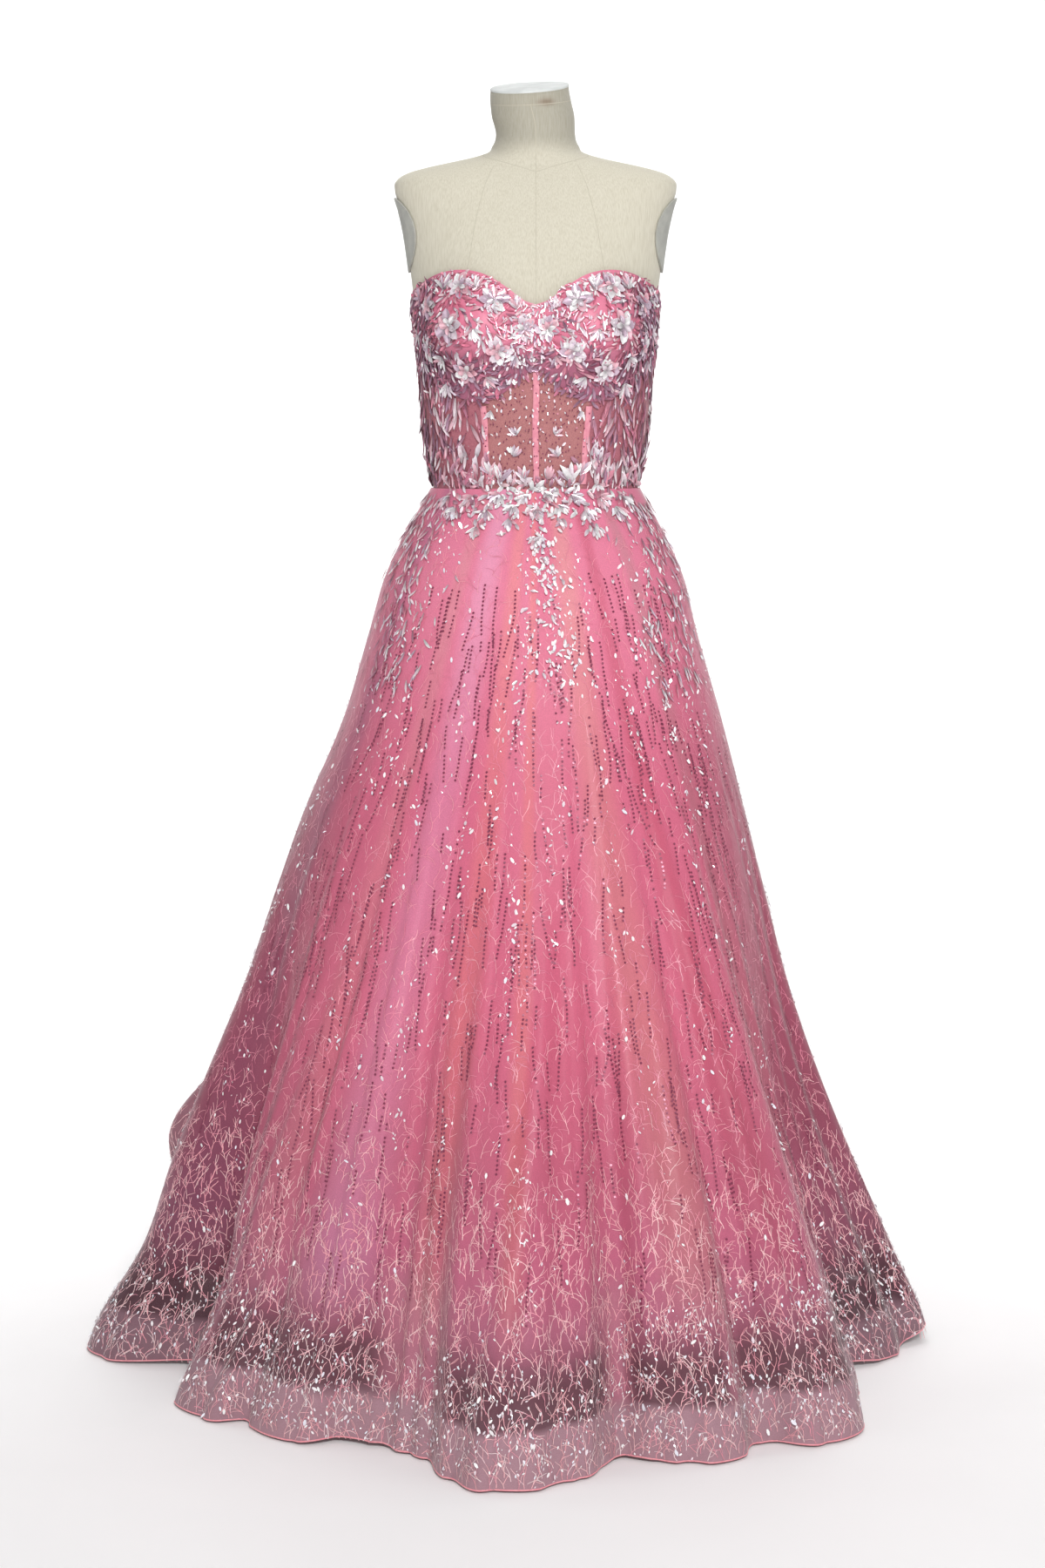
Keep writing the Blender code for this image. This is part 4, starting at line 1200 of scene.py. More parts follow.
def cup_leaves(start, end, sign, rng):
    """Leaves in swirls, long ones down the outer side, and a row along the top edge."""
    angle, z = scattered(start, end, top_edge, cup_edge, 0.0066, rng)
    swirl = 70 * np.sin(np.radians(angle) * 9 + z * 60) + 40 * np.cos(z * 110 - np.radians(angle) * 4)
    outward = sign * 100 * smooth_step((np.abs(angle) - 30) / 45)
    heading = 180 + swirl - outward + rng.normal(0, 22, len(angle))
    scale = np.where(z > top_edge(angle) - 0.012, 0.6, 1.0)
    # More dark mauve leaves where the cup is painted with shade
    share = cup_shade_share(angle, z)

    def colours():
        return pick_by(share, PINK_PETALS + SILVER_PETALS[:1], MAUVE_LEAVES, rng)

    parts = [leaves(CUP_LEAF, cup_surface, angle, z, heading, colours, rng, scale)]

    first, last = sorted((sign * CUP_OUTER_ANGLE, sign * BODICE_SIDE_SEAM))
    angle, z = scattered(first, last, top_edge, cup_edge, 0.0072, rng)
    heading = 180 - sign * rng.normal(14, 16, len(angle))
    # Long dark mauve leaves down the outer side, as painted shade
    mauve_shade = MAUVE_LEAVES + SILVER_PETALS[:1]
    parts.append(leaves(LONG_CUP_LEAF, cup_surface, angle, z, heading, mauve_shade, rng))

    angle = np.linspace(start + 2, end - 2, EDGE_PETALS) + rng.normal(0, 0.6, EDGE_PETALS)
    z = top_edge(angle) - rng.uniform(0.0045, 0.0060, EDGE_PETALS)
    heading = np.where(rng.uniform(0, 1, EDGE_PETALS) < 0.5, -90, 90) + rng.normal(0, 20, EDGE_PETALS)
    parts.append(leaves(EDGE_PETAL, cup_surface, angle, z, heading, PINK_PETALS, rng))
    return parts


def cup_flakes(start, end, rng):
    """Clear flakes all over a cup and in close groups, fewer where the cup is painted with shade."""
    angle, z = scattered(start, end, top_edge, cup_edge, 0.0110, rng)
    close = clustered(CUP_CLUSTERS, start, end, rng)
    angle, z = np.concatenate([angle, close[0]]), np.concatenate([z, close[1]])
    z = np.minimum(z, top_edge(angle) - CUP_EDGE_MARGIN)
    keep = rng.uniform(0, 1, len(angle)) > 0.5 * cup_shade_share(angle, z)
    angle, z = angle[keep], z[keep]
    radius = rng.uniform(0.0013, 0.0027, len(angle))
    return sequins_on(moved_out(cup_surface, 0.0016), angle, z, radius, 0.35, CUP_FLAKES, rng)


def make_cups(rng):
    for side, sign in SIDES:
        start, end = sorted((0.0, sign * BODICE_SIDE_SEAM))
        name, node = f"cup_{side}", f"bodice_cup_{side}"
        places = sheet_places(start, end, 100, top_edge, cup_edge, 70)
        # Pink turning to dark mauve lower down and outwards: painted shade
        mauve_shade = cup_shade_share(*places).reshape(-1, 1)
        tint = np.array(CUP_PINK) + mauve_shade * (np.array(CUP_SHADE_MAUVE) - CUP_PINK)
        cloth = cup_point(*places), "petal_base", "petal_cloth"
        add_sheet(name, *cloth, node, "stretched", ["canvas_form"], tint)
        parts = [
            rosettes(cup_surface, FLOWERS, sign, SILVER_PETALS, rng),
            fan_petals(cup_surface, CUP_FANS, sign, SILVER_PETALS, rng, 0.24),
            *cup_leaves(start, end, sign, rng),
        ]
        add_on_sheet(name, f"cup_petals_{side}", parts, "petal")
        flakes = cup_flakes(start, end, rng)
        add_on_sheet(name, f"cup_sequins_{side}", [flakes], "clear")


def below_cup(angle):
    return cup_edge(angle) - 0.0003


def seam_leaves(start, end, rng):
    """Pointed leaves that stand up from the waist seam, taller round the sides."""
    count = int((end - start) * 0.75)
    angle = rng.uniform(start + 1, end - 1, count)
    tall = smooth_step((np.abs(angle) - 14) / 30)
    z = WAIST_Z + 0.002 + rng.uniform(0, 1, count) ** 2 * (0.010 + 0.032 * tall)
    heading = rng.normal(0, 28, count)
    colours = SIDE_LEAVES + SILVER_PETALS[:1]
    return leaves(SEAM_LEAF, panel_surface, angle, z, heading, colours, rng, 0.8 + 0.5 * tall)


def side_leaves(start, end, top, rng):
    """Long leaves that flow down the side and back panels in wavy lines."""
    angle, z = scattered(start, end, top, over_waist, 0.0088, rng)
    count = len(angle)
    wave = 20 * np.sin(np.radians(angle) * 14 + z * 34)
    heading = wave + rng.normal(0, 10, count) + 180
    z = np.minimum(z + 0.008, top(angle) - 0.002)
    room = z - WAIST_Z
    length = np.minimum(rng.uniform(0.014, 0.027, count), np.maximum(room, 0.004))
    near_bone = smooth_step((np.abs(angle) - BONE_ANGLE - 3) / 16)
    keep = rng.uniform(0, 1, count) < 0.30 + 0.62 * near_bone
    lift = rng.uniform(0.0004, 0.0018, count)
    outer = smooth_step((np.abs(angle) - 60) / 20)
    colours = pick_by(0.25 + 0.40 * outer, SIDE_LEAVES, MAUVE_LEAVES, rng)
    shape = (length[keep], length[keep] * 0.19, lift[keep], colours[keep], rng)
    return petals(panel_surface, angle[keep], z[keep], heading[keep], *shape)


# Degrees beside centre back that the leaves leave free for the zip
ZIP_CLEAR = 4.5


Panel = namedtuple("Panel", "name first last top look slot flake_pitch dark_share")
PANELS = named_rows(
    Panel,
    ("midriff_front", 0.0, BONE_ANGLE, below_cup, "sheer", "sheer_net", 0.0095, 0.60),
    ("midriff_side", BONE_ANGLE, BODICE_SIDE_SEAM, below_cup, "side_base", "petal_cloth", 0.013, 0.25),
    ("bodice_back", BODICE_SIDE_SEAM, 180.0, top_edge, "side_base", "petal_cloth", 0.013, 0.25),
)


def panel_flakes(panel, start, end, rng):
    """Clear flakes in close groups, and small dark sequins all over."""
    angle, z = scattered(start, end, panel.top, over_waist, panel.flake_pitch, rng)
    close = 0.5 + 0.5 * np.sin(np.radians(angle) * 16 + z * 95) * np.cos(z * 60)
    keep = rng.uniform(0, 1, len(angle)) < 0.18 + 0.55 * close
    radius = rng.uniform(0.0008, 0.0019, int(keep.sum()))
    radius = radius * np.where(rng.uniform(0, 1, len(radius)) < 0.16, 1.7, 1.0)
    clear = sequins_on(over_panel, angle[keep], z[keep], radius, 0.35, SEQUIN_WHITES_AND_GLINTS, rng)

    angle, z = scattered(start, end, panel.top, over_waist, 0.0066, rng)
    keep = rng.uniform(0, 1, len(angle)) < panel.dark_share
    radius = np.full(int(keep.sum()), 0.0010)
    dark = sequins_on(over_panel, angle[keep], z[keep], radius, 0.2, SEQUIN_WHITES_AND_GLINTS, rng, ROUND)
    return clear, dark


def make_panel(panel, side, sign, rng):
    """One panel of the bodice between two seams, with what is sewn on it."""
    start, end = sorted((sign * panel.first, sign * panel.last))
    columns = int(abs(panel.last - panel.first) * 1.2)
    grid = sheet_grid(panel_surface, start, end, columns, panel.top, over_waist, 60)
    name, node = f"{panel.name}_sheet_{side}", f"{panel.name}_{side}"
    add_sheet(name, grid, panel.look, panel.slot, node, "stretched", ["canvas_form"])
    start, end = max(start, ZIP_CLEAR - 180.0), min(end, 180.0 - ZIP_CLEAR)
    parts = [seam_leaves(start, end, rng)]
    if panel.name == "midriff_front":
        parts.append(fan_petals(panel_surface, MIDRIFF_FANS, sign, SILVER_PETALS, rng, 0.26))
    else:
        parts.append(side_leaves(start, end, panel.top, rng))
    add_on_sheet(name, f"{panel.name}_leaves_{side}", parts, "petal")
    clear, dark = panel_flakes(panel, start, end, rng)
    add_on_sheet(name, f"{panel.name}_flakes_{side}", [clear], "clear")
    add_on_sheet(name, f"{panel.name}_dark_{side}", [dark], "dark")


def make_midriff(rng):
    for side, sign in SIDES:
        for panel in PANELS:
            make_panel(panel, side, sign, rng)


# Across a boning strip: share of its half width, and height over the bodice. Its long
# edges are turned under.
STRIP_PROFILE = (
    (-0.45, 0.0001),
    (-0.95, 0.0001),
    (-1.00, 0.0006),
    (-0.85, 0.0011),
    (0.00, 0.0014),
    (0.85, 0.0011),
    (1.00, 0.0006),
    (0.95, 0.0001),
    (0.45, 0.0001),
)


def make_boning():
    """Satin strips over the boning seams, with their turned edges."""
    across, height = np.array(STRIP_PROFILE).T
    for name, angle in (("left", -BONE_ANGLE), ("centre", 0.0), ("right", BONE_ANGLE)):
        rows = 60
        half = math.degrees(0.5 * BONE_WIDTH / float(waist_radius(np.array(angle))))
        top, base = float(cup_edge(np.array(angle))) - 0.006, WAIST_Z + 0.006
        z = np.broadcast_to(np.linspace(top, base, rows)[:, None], (rows, len(across)))
        wander = 0.35 * np.sin(np.linspace(0, 9, rows))[:, None]
        turn = angle + across[None] * half + wander
        out = surface_axes(body_point, turn, z)[2]
        lift = FORM_CLEARANCE + BODICE_WALL + 0.0003 + height
        grid = body_point(turn, z) + out * lift[None, :, None]
        node = f"boning_strip_{name}"
        add_sheet(f"{node}_satin", grid, "strip", "pink_satin", node, "stretched", [])


# The skirts


def horsehair_top(angle):
    return hem_height(angle) + HORSEHAIR_WIDTH


GORES = (
    ("front", -SKIRT_SIDE_SEAM, SKIRT_SIDE_SEAM, 330),
    ("back_left", -180.0, -SKIRT_SIDE_SEAM, 150),
    ("back_right", SKIRT_SIDE_SEAM, 180.0, 150),
)


def make_net_skirt():
    for name, start, end, columns in GORES:
        places = sheet_places(start, end, columns, at_waist, hem_height, 120)
        sheet = f"net_{name}"
        node = f"skirt_net_{name}"
        tint = net_tint(*places).reshape(-1, 3)
        grid = net_point(*places)
        add_sheet(sheet, grid, "net", "embroidered_net", node, "gathered", ["lining_front_satin"], tint)
        inside = moved_out(net_point, -0.0024)
        band = sheet_grid(inside, start, end, columns, horsehair_top, hem_height, 9)
        add_sheet(f"braid_{name}", band, "horsehair", "horsehair", f"horsehair_hem_{name}", "hung", [sheet])


def make_inner_skirts():
    layers = (
        ("undernet", undernet_point, UNDERNET_HEM_Z, "undernet", "plain_net"),
        ("lining", lining_point, LINING_HEM_Z, "satin", "pink_satin"),
    )
    spans = (
        ("front", -SKIRT_SIDE_SEAM, SKIRT_SIDE_SEAM, 170),
        ("back", SKIRT_SIDE_SEAM, 360.0 - SKIRT_SIDE_SEAM, 160),
    )
    for layer, surface, hem, look, slot in layers:
        for name, start, end, columns in spans:
            grid = sheet_grid(surface, start, end, columns, at_waist, all_round(hem), 70)
            made = f"{layer}_{name}_{'satin' if layer == 'lining' else 'net'}"
            add_sheet(made, grid, look, slot, f"{layer}_{name}", "gathered", ["canvas_form"])


def make_hem_piping():
    """The coloured edge at the bottom of the net, once round."""
    angle = np.linspace(-180.0, 180.0, 900)
    z = hem_height(angle)
    path = net_point(angle, z) + surface_axes(net_point, angle, z)[2] * -0.0006
    points, faces = tube(path, 0.0011)
    add_piece("hem_piping", points, faces, "piping")


# Embroidery on the net. Steps over the cloth are turned into angles and heights with
# the length of a degree and of a metre of height at each place.
GRID_TURN = 0.5
GRID_RISE = 0.01
GRID_ANGLES = np.arange(-180.0, 180.0 + GRID_TURN, GRID_TURN)
GRID_HEIGHTS = np.arange(0.0, WAIST_Z + GRID_RISE, GRID_RISE)


def cloth_lengths():
    angle, z = np.meshgrid(GRID_ANGLES, GRID_HEIGHTS)
    turn, rise = 0.25, 0.002
    across = net_point(angle + turn, z) - net_point(angle - turn, z)
    up = net_point(angle, z + rise) - net_point(angle, z - rise)
    return np.linalg.norm(across, axis=2) / (2 * turn), np.linalg.norm(up, axis=2) / (2 * rise)


ACROSS, UPWARD = cloth_lengths()


def read_grid(table, angle, z):
    col = ((angle + 180.0) % 360.0) / GRID_TURN
    row = np.clip(z / GRID_RISE, 0, len(GRID_HEIGHTS) - 1.001)
    i, j = row.astype(int), np.minimum(col.astype(int), len(GRID_ANGLES) - 2)
    a, b = row - i, col - j
    top = table[i, j] * (1 - b) + table[i, j + 1] * b
    low = table[i + 1, j] * (1 - b) + table[i + 1, j + 1] * b
    return top * (1 - a) + low * a


def walk(angle, z, heading, steps, step, wander, rng):
    """Paths over the net from starting places and headings from straight up."""
    places = [(angle, z, heading)]
    for _ in range(steps):
        heading = heading + rng.normal(0, wander, heading.shape)
        angle = angle + step * np.sin(heading) / read_grid(ACROSS, angle, z)
        z = z + step * np.cos(heading) / read_grid(UPWARD, angle, z)
        z = np.clip(z, hem_height(angle) + 0.0015, WAIST_Z - 0.002)
        places.append((angle, z, heading))
    return [np.stack(values, axis=1) for values in zip(*places)]


def places_round(z, spacing, rng):
    """Angles about a spacing apart along the cloth at one height."""
    lengths = read_grid(ACROSS, GRID_ANGLES, np.full(len(GRID_ANGLES), z)) * GRID_TURN
    run = np.concatenate([[0.0], np.cumsum(lengths[:-1])])
    count = int(run[-1] / spacing)
    at = (np.arange(count) + rng.uniform(-0.4, 0.4, count) + 0.5) * run[-1] / count
    return np.interp(at, run, GRID_ANGLES)


# Side branches of a stem: the knot where each starts, and its turn
STEM_STEPS = 6
BRANCH_STEPS = 3
BRANCHES = ((1, 1.0), (3, -0.95))
BRANCH_WIDTH = 0.85
THREAD_RISE = 0.0007

# Threads from a height up: stems this far apart, in rows this high, and how they run.
# Neighbouring zones thin out over each other.
THREAD_FADE = 0.09
THREAD_TOP_Z = 1.070
ThreadZone = namedtuple("ThreadZone", "base top spacing pitch lean wander step branch width")
THREAD_ZONES = named_rows(
    ThreadZone,
    (0.006, 0.325, 0.008, 0.021, 0.2, 0.26, 0.0044, 0.6, 0.00098),
    (0.235, 0.665, 0.0095, 0.026, 0.2, 0.3, 0.0044, 0.75, 0.00075),
    (0.575, 1.15, 0.0115, 0.032, 0.14, 0.26, 0.0048, 0.65, 0.00062),
)

# Below this height the threads are paler, and a share of them whitened as painted highlights
PALE_THREADS_TOP_Z = 0.24
PALE_THREADS_FADE = 0.20
THREAD_HIGHLIGHT_SHARE = 0.24


def thread_paths(rng):
    """Stems like coral, each with side branches: lists of angles, heights and a width."""
    paths = []
    for zone in THREAD_ZONES:
        angle, z = [], []
        for height in np.arange(zone.base, min(zone.top, THREAD_TOP_Z), zone.pitch):
            found = places_round(height, zone.spacing, rng)
            share = smooth_step((zone.top - height) / THREAD_FADE)
            if zone.base > THREAD_FADE:
                share = share * smooth_step((height - zone.base) / THREAD_FADE)
            found = found[rng.uniform(0, 1, len(found)) < share]
            angle.append(found)
            z.append(height + rng.uniform(-0.5, 0.5, len(found)) * zone.pitch)
        angle, z = np.concatenate(angle), np.concatenate(z)
        z = np.clip(z, 0.006, THREAD_TOP_Z - 0.010)
        heading = rng.normal(0, zone.lean, len(angle))
        stems = walk(angle, z, heading, STEM_STEPS, zone.step, zone.wander, rng)
        paths.append((stems[0], stems[1], zone.width))
        side = rng.choice((-1.0, 1.0), len(angle))
        for knot, turn in BRANCHES:
            start = [values[:, knot] for values in stems]
            lean = start[2] + side * turn * zone.branch
            branch = walk(start[0], start[1], lean, BRANCH_STEPS, zone.step, zone.wander, rng)
            paths.append((branch[0], branch[1], zone.width * BRANCH_WIDTH))
    return paths


def gore_of(angle):
    turned = turn_between(angle, 0.0)
    return np.where(np.abs(turned) <= SKIRT_SIDE_SEAM, 0, np.where(turned < 0, 1, 2))


def thread_tint(z, rng):
    """A colour for each thread: paler near the hem with a share whitened as painted highlights, pink above.
    """
    above = (z - PALE_THREADS_TOP_Z) / PALE_THREADS_FADE
    low = smooth_step(-above)[:, None]
    tint = pick_by(smooth_step(above), THREADS, PINK_THREADS, rng)
    # Painted highlights: a share of the threads near the hem turned nearly white
    pale = (rng.uniform(0, 1, len(z)) < THREAD_HIGHLIGHT_SHARE)[:, None]
    return np.clip(tint * (1 - 0.12 * low) + (1 - tint) * 0.42 * low * pale, 0, 1)


def make_threads(paths, rng):
    """The net's embroidery, gore by gore."""
    for index, (name, *_) in enumerate(GORES):
        parts = []
        for angle, z, width in paths:
            chosen = gore_of(angle[:, 0]) == index
            a, h = angle[chosen], z[chosen]
            out = surface_axes(net_point, a, h)[2]
            size = np.broadcast_to(np.linspace(1.0, 0.6, a.shape[1]), a.shape)
            points, faces = strip(net_point(a, h), out, size * width, size * THREAD_RISE, FLAT)
            tint = thread_tint(h.mean(axis=1), rng)
            parts.append((points, faces, np.repeat(tint, a.shape[1] * 2, axis=0)))
        add_on_sheet(f"net_{name}", f"embroidery_{name}", parts, "thread")


# Clear flakes: close groups above the hem, and streams down the net
HEM_GROUPS = 150
HEM_FLAKE_Z = 0.04
STREAMS = 330
STREAM_LENGTH = 0.16
FLAKES_TOP_Z = 1.06


def clear_places(paths, rng):
    """Clear flakes on thread tips near the hem, in close groups there, and in streams."""
    tips = [np.concatenate([path[which][:, -1] for path in paths]) for which in (0, 1)]
    near_hem = np.exp(-((np.clip(tips[1] - HEM_FLAKE_Z, 0, 2) / 0.075) ** 2))
    keep = rng.uniform(0, 1, len(tips[0])) < 0.012 + 0.30 * near_hem
    angle, z = [tips[0][keep]], [tips[1][keep]]
    centres = np.linspace(-180, 180, HEM_GROUPS, endpoint=False) + rng.normal(0, 2, HEM_GROUPS)
    for centre in centres:
        count = rng.integers(10, 42)
        height = 0.035 + 0.13 * rng.uniform(0, 1) ** 1.4
        z.append(height + rng.normal(0, 0.020, count))
        angle.append(centre + rng.normal(0, 2.6, count))
    for centre in rng.uniform(-180, 180, STREAMS):
        count = rng.integers(6, 19)
        start = rng.uniform(0.16, 1.07)
        z.append(start - np.sort(rng.uniform(0, STREAM_LENGTH, count)))
        angle.append(centre + rng.normal(0, 0.9, count))
    angle, z = np.concatenate(angle), np.concatenate(z)
    return angle, np.clip(z, hem_height(angle) + 0.003, FLAKES_TOP_Z)


# Flakes that fall from the waist: one trail at the front, and one down each side
TRAIL_FLAKES = 90
TRAIL_TOP_Z = 1.050
SIDE_FLAKES = 420
SIDE_FLAKES_TOP_Z = 1.075


def trail_places(rng):
    """The trail of clear flakes below the waist's centre, and one down each side."""
    fallen = rng.uniform(0, 1, TRAIL_FLAKES) ** 1.2
    z = TRAIL_TOP_Z - 0.20 * fallen
    angle = 4.0 + 5.0 * fallen + rng.normal(0, 1, TRAIL_FLAKES) * (3.5 + 6.0 * fallen)
    drop = 0.36 * rng.uniform(0, 1, SIDE_FLAKES) ** 1.2
    side = rng.choice((-1.0, 1.0), SIDE_FLAKES)
    turn = side * (60 - 22 * drop) + rng.normal(0, 11, SIDE_FLAKES)
    return np.concatenate([angle, turn]), np.concatenate([z, SIDE_FLAKES_TOP_Z - drop])


# Rows of small dark sequins down the net: how many at the front and all round
# Their dark colour is partly the sequins' own maroon, partly painted dark reflection
FRONT_ROWS = 350
ROUND_ROWS = 320
ROW_STEPS = 18
ROW_STEP = 0.0052
ROW_SEQUIN_RADIUS = 0.0015


def dark_places(rng):
    """Rows of small dark sequins that run down the net, closest at the front."""
    angle = np.concatenate([rng.uniform(-64, 64, FRONT_ROWS), rng.uniform(-180, 180, ROUND_ROWS)])
    count = FRONT_ROWS + ROUND_ROWS
    z = 0.20 + 0.80 * rng.uniform(0, 1, count)
    found = walk(angle, z, rng.normal(math.pi, 0.02, count), ROW_STEPS, ROW_STEP, 0.035, rng)
    order = np.arange(ROW_STEPS + 1)[None, :]
    length = (4 + (ROW_STEPS - 4) * rng.uniform(0, 1, count) ** 1.2)[:, None]
    inside = (order < length) & (rng.uniform(0, 1, found[0].shape) > 0.05) & (found[1] > 0.10)
    return found[0][inside], found[1][inside]


def make_net_sequins(paths, rng):
    """The net's clear flakes and rows of dark sequins, gore by gore."""
    clear = [np.concatenate(pair) for pair in zip(clear_places(paths, rng), trail_places(rng))]
    dark = dark_places(rng)
    for index, (name, *_) in enumerate(GORES):
        angle, z = (values[gore_of(clear[0]) == index] for values in clear)
        radius = 0.0007 + 0.0012 * rng.uniform(0, 1, len(z))
        large = rng.uniform(0, 1, len(z)) < 0.14 + 0.16 * (z > 0.55)
        radius = radius + large * rng.uniform(0.0006, 0.0016, len(z))
        parts = [sequins_on(net_point, angle, z, radius, 0.40, SEQUIN_WHITES_AND_GLINTS, rng)]
        add_on_sheet(f"net_{name}", f"clear_sequins_{name}", parts, "clear")
        angle, z = (values[gore_of(dark[0]) == index] for values in dark)
        radius = np.full(len(z), ROW_SEQUIN_RADIUS)
        parts = [sequins_on(net_point, angle, z, radius, 0.10, SEQUIN_WHITES_AND_GLINTS, rng, ROUND)]
        add_on_sheet(f"net_{name}", f"dark_sequins_{name}", parts, "dark")


HIP_LEAVES = 460
TRAIL_LEAVES = 64


def waist_leaves(rng):
    """Leaves over the waist seam, close in its band and fewer on its sprays, pinker at the sides."""
    top = WAIST_Z + 0.006
    angle, z = scattered(-APPLIQUE_END, APPLIQUE_END, all_round(top), spray_edge, 0.0080, rng)
    z = np.minimum(z, top)
    keep = rng.uniform(0, 1, len(z)) < 0.82 - 0.40 * smooth_step((WAIST_Z - 0.02 - z) / 0.03)
    angle, z = angle[keep], z[keep]
    heading = rng.normal(180, 60, len(z))
    centre = 1 - smooth_step(np.abs(angle) / 50)
    pink = PINK_PETALS[2:] + SIDE_LEAVES[:2]

    def colours():
        return pick_by(0.30 + 0.6 * centre, pink, SILVER_PETALS[:2], rng)

    return leaves(WAIST_LEAF, net_point, angle, z, heading, colours, rng)


def hip_leaves(rng):
    """Narrow leaves that fall from the waist down the skirt's sides."""
    side = rng.choice((-1.0, 1.0), HIP_LEAVES)
    fallen = rng.uniform(0, 1, HIP_LEAVES) ** 1.3
    z = 1.094 - 0.24 * fallen
    angle = side * (74 - 18 * fallen + rng.normal(0, 9, HIP_LEAVES))
    heading = rng.normal(180, 18, HIP_LEAVES)
    colours = SIDE_LEAVES + SILVER_PETALS[:3]
    return leaves(HIP_LEAF, net_point, angle, z, heading, colours, rng)


def make_waist_applique(rng):
    """Fans and leaves over the waist seam, and the trail below its centre, with their flakes."""
    parts = [fan_petals(net_point, WAIST_FANS, sign, SILVER_PETALS, rng, 0.29) for sign in (-1, 1)]
    parts += [waist_leaves(rng), hip_leaves(rng)]

    fallen = rng.uniform(0, 1, TRAIL_LEAVES) ** 1.3
    z = 1.040 - 0.17 * fallen
    angle = 3.0 + 5.0 * fallen + rng.normal(0, 1, TRAIL_LEAVES) * (2.6 + 3.4 * fallen)
    heading = rng.normal(180, 50, TRAIL_LEAVES)
    parts.append(leaves(TRAIL_LEAF, net_point, angle, z, heading, SILVER_PETALS[:2], rng))
    trail = angle + rng.normal(0, 1.2, TRAIL_LEAVES), z + rng.normal(0, 0.006, TRAIL_LEAVES)
    add_on_sheet("net_front", "waist_petals", parts, "petal", ("waist_applique",))

    angle, z = scattered(-APPLIQUE_END, APPLIQUE_END, at_waist, spray_edge, 0.0090, rng)
    keep = rng.uniform(0, 1, len(angle)) < 0.40 + 0.50 * (1 - smooth_step(np.abs(angle) / 45))
    angle, z = np.concatenate([angle[keep], trail[0]]), np.concatenate([z[keep], trail[1]])
    radius = rng.uniform(0.0014, 0.0034, len(angle))
    lifted = moved_out(net_point, 0.0022)
    parts = [sequins_on(lifted, angle, z, radius, 0.40, SEQUIN_WHITES_AND_GLINTS, rng)]
    add_on_sheet("net_front", "waist_sequins", parts, "clear")


# The zip, and the hard pieces

ZIP_END_Z = 0.93
TAPE_WIDTH = 0.011
TAPE_RISE = 0.0006
TOOTH_PITCH = 0.0018
TOOTH_SIZE = (0.0011, 0.0009, 0.0011)
TOOTH_OFFSET = 0.0009

# A block from its back face's middle, as corners and faces
BLOCK = np.array([(x, y, h) for h in (-0.5, 0.5) for x, y in ((-1, 0), (1, 0), (1, 1), (-1, 1))])
BLOCK_SIDES = [(i, (i + 1) % 4, (i + 1) % 4 + 4, i + 4) for i in range(4)]
BLOCK_FACES = np.array([(3, 2, 1, 0), (4, 5, 6, 7), *BLOCK_SIDES])


def back_line(z):
    """Centre back, outside the bodice above the waist and outside the net below it."""
    angle = np.full(len(z), 180.0)
    above = panel_surface(angle, z)
    below = net_point(angle, z)
    return np.where((z > WAIST_Z)[:, None], above, below)


def make_zip():
    """The concealed zip's tape at centre back, with two rows of teeth."""
    edge = float(top_edge(np.array(180.0)))
    z = np.linspace(edge - 0.003, ZIP_END_Z, 120)
    line = back_line(z)
    out = np.broadcast_to((0.0, 1.0, 0.0), line.shape)
    size = np.ones(len(z))
    points, faces = strip(line, out, size * TAPE_WIDTH, size * TAPE_RISE)
    add_piece("zip_tape", points, faces, "tape")

    z = np.arange(ZIP_END_Z + 0.003, edge - 0.024, TOOTH_PITCH)
    faces = repeated(BLOCK_FACES, 8, len(z))
    parts = []
    for side in (-1, 1):
        middle = back_line(z) + np.array([side * TOOTH_OFFSET, TAPE_RISE, side * 0.25 * TOOTH_PITCH])
        points = middle[:, None] + BLOCK[None] * TOOTH_SIZE
        parts.append((points.reshape(-1, 3), faces, np.ones((8 * len(z), 3))))
    points, faces, _ = joined(parts)
    add_piece("zip_teeth", points, faces, "zip")


HARD_LOOKS = {
    "arm_plate_left": "plate",
    "arm_plate_right": "plate",
    "stand_pole": "steel",
    "stand_base": "steel",
    "zip_slider": "zip",
    "zip_pull": "zip",
}


def dress_hard_nodes():
    """Materials for the CAD nodes that stay as they are."""
    for node, look in HARD_LOOKS.items():
        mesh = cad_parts[node].data
        mesh.materials.clear()
        mesh.materials.append(MATERIALS[look])


# Studio


def backdrop_material():
    """Pale paper with no back side, so that nothing is hidden from behind it."""
    made = material("pale_floor", 0.9, (0.92,) * 3, (0.94,) * 3, 3)
    nodes, links = made.node_tree.nodes, made.node_tree.links
    side = nodes.new("ShaderNodeNewGeometry")
    clear = nodes.new("ShaderNodeBsdfTransparent")
    mix = nodes.new("ShaderNodeMixShader")
    links.new(side.outputs["Backfacing"], mix.inputs["Fac"])
    links.new(nodes["Principled BSDF"].outputs["BSDF"], mix.inputs[1])
    links.new(clear.outputs["BSDF"], mix.inputs[2])
    links.new(mix.outputs["Shader"], nodes["Material Output"].inputs["Surface"])
    return made


def add_stage(name, profile, half_width, paper):
    """A strip of paper across the studio, along a profile of distances back and heights."""
    across = (-half_width, 0.0, half_width)
    points = np.array([[(x, y, h) for x in across] for y, h in profile])
    mesh = bpy.data.meshes.new(name)
    mesh.from_pydata(points.reshape(-1, 3), [], grid_quads(len(profile), 3)[:, ::-1])
    mesh.shade_smooth()
    mesh.materials.append(paper)
    made = bpy.data.objects.new(name, mesh)
    bpy.context.scene.collection.objects.link(made)


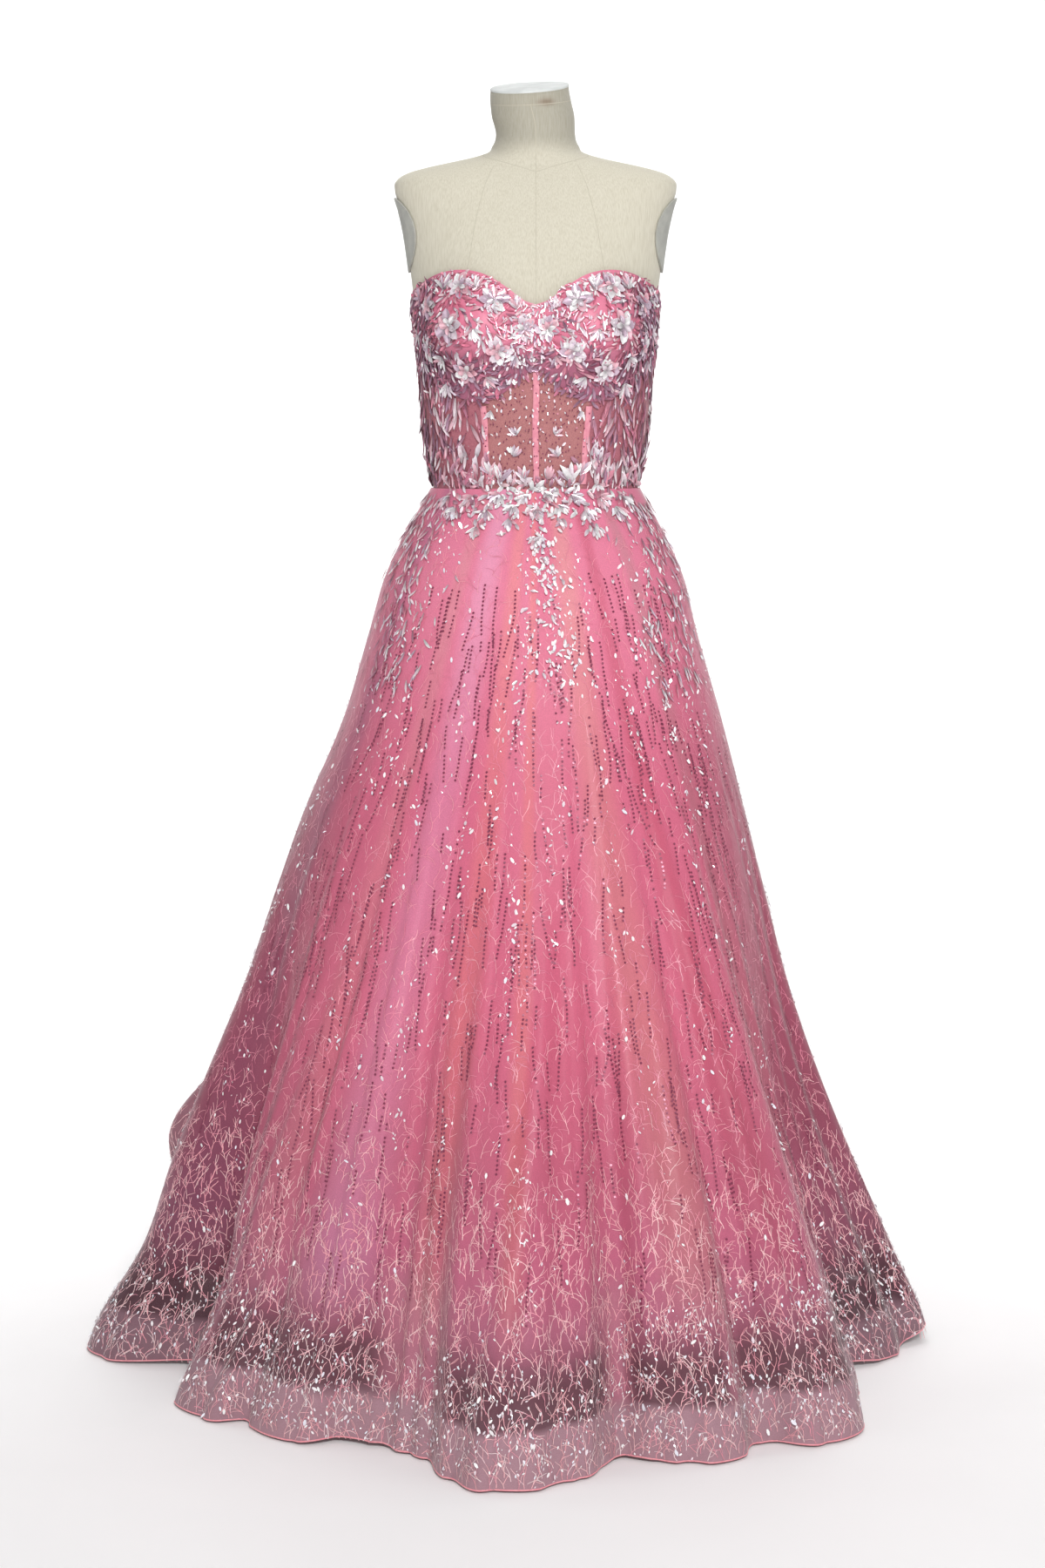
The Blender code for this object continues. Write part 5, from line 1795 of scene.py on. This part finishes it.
# Paper floor: where it starts, turns up and ends
FLOOR_FRONT_Y = -7.0
TURN_UP_Y = 2.6
TURN_UP_RADIUS = 1.6
WALL_TOP_Z = 7.0
FLOOR_HALF_WIDTH = 9.0
GROUND_REACH = 40.0
GROUND_Z = -0.004
ROOM_LIGHT = 0.235

Light = namedtuple("Light", "name place aim size power")
LIGHTS = named_rows(
    Light,
    ("key", (0.5, -4.2, 2.9), (0, 0, 0.8), 1.0, 148),
    ("left fill", (-3.2, -1.6, 1.6), (0, 0, 0.7), 1.6, 15),
    ("right fill", (3.2, -1.8, 1.7), (0, 0, 0.7), 1.6, 15),
    ("top", (0.2, 0.8, 4.2), (0, 0.2, 0.6), 2.0, 26),
    ("backdrop", (0.0, 0.9, 3.4), (0, 4.2, 1.6), 3.0, 108),
)


def add_light(light):
    data = bpy.data.lights.new(light.name, "AREA")
    data.size = light.size
    data.energy = light.power
    lamp = bpy.data.objects.new(light.name, data)
    lamp.location = light.place
    aim = np.array(light.aim) - np.array(light.place)
    lean = math.atan2(math.hypot(aim[0], aim[1]), -aim[2])
    lamp.rotation_euler = (lean, 0.0, math.atan2(-aim[0], aim[1]))
    bpy.context.scene.collection.objects.link(lamp)


def add_camera():
    """The camera at the photo's angle."""
    data = bpy.data.cameras.new("camera")
    data.lens = CAMERA_LENS
    data.sensor_width = SENSOR_WIDTH
    camera = bpy.data.objects.new("camera", data)
    camera.location = (CAMERA_SIDE, -CAMERA_DISTANCE, CAMERA_HEIGHT)
    camera.rotation_euler = (math.radians(90.0 - CAMERA_DOWN), 0.0, 0.0)
    bpy.context.scene.collection.objects.link(camera)
    bpy.context.scene.camera = camera


def make_studio():
    """A pale floor that turns up into a backdrop, and soft lights."""
    profile = [(FLOOR_FRONT_Y, 0.0), (TURN_UP_Y, 0.0)]
    for turn in np.radians(np.linspace(0, 90, 17)):
        up = TURN_UP_RADIUS * (1 - math.cos(turn))
        profile.append((TURN_UP_Y + TURN_UP_RADIUS * math.sin(turn), up))
    profile.append((TURN_UP_Y + TURN_UP_RADIUS, WALL_TOP_Z))
    ground = [(-GROUND_REACH, GROUND_Z), (GROUND_REACH, GROUND_Z)]
    paper = backdrop_material()
    add_stage("studio_floor", profile, FLOOR_HALF_WIDTH, paper)
    add_stage("studio_ground", ground, GROUND_REACH, paper)
    for light in LIGHTS:
        add_light(light)

    world = bpy.data.worlds.new("soft_room")
    world.use_nodes = True
    room = world.node_tree.nodes["Background"].inputs
    room["Color"].default_value = (1.0, 1.0, 1.0, 1.0)
    room["Strength"].default_value = ROOM_LIGHT
    bpy.context.scene.world = world
    bpy.context.scene.view_settings.view_transform = "Standard"


def main():
    rng = np.random.default_rng(7)
    make_form()
    make_net_skirt()
    make_inner_skirts()
    make_hem_piping()
    make_cups(rng)
    make_midriff(rng)
    make_boning()
    make_waist_applique(rng)
    paths = thread_paths(rng)
    make_threads(paths, rng)
    make_net_sequins(paths, rng)
    make_zip()
    dress_hard_nodes()
    make_studio()
    add_camera()


main()
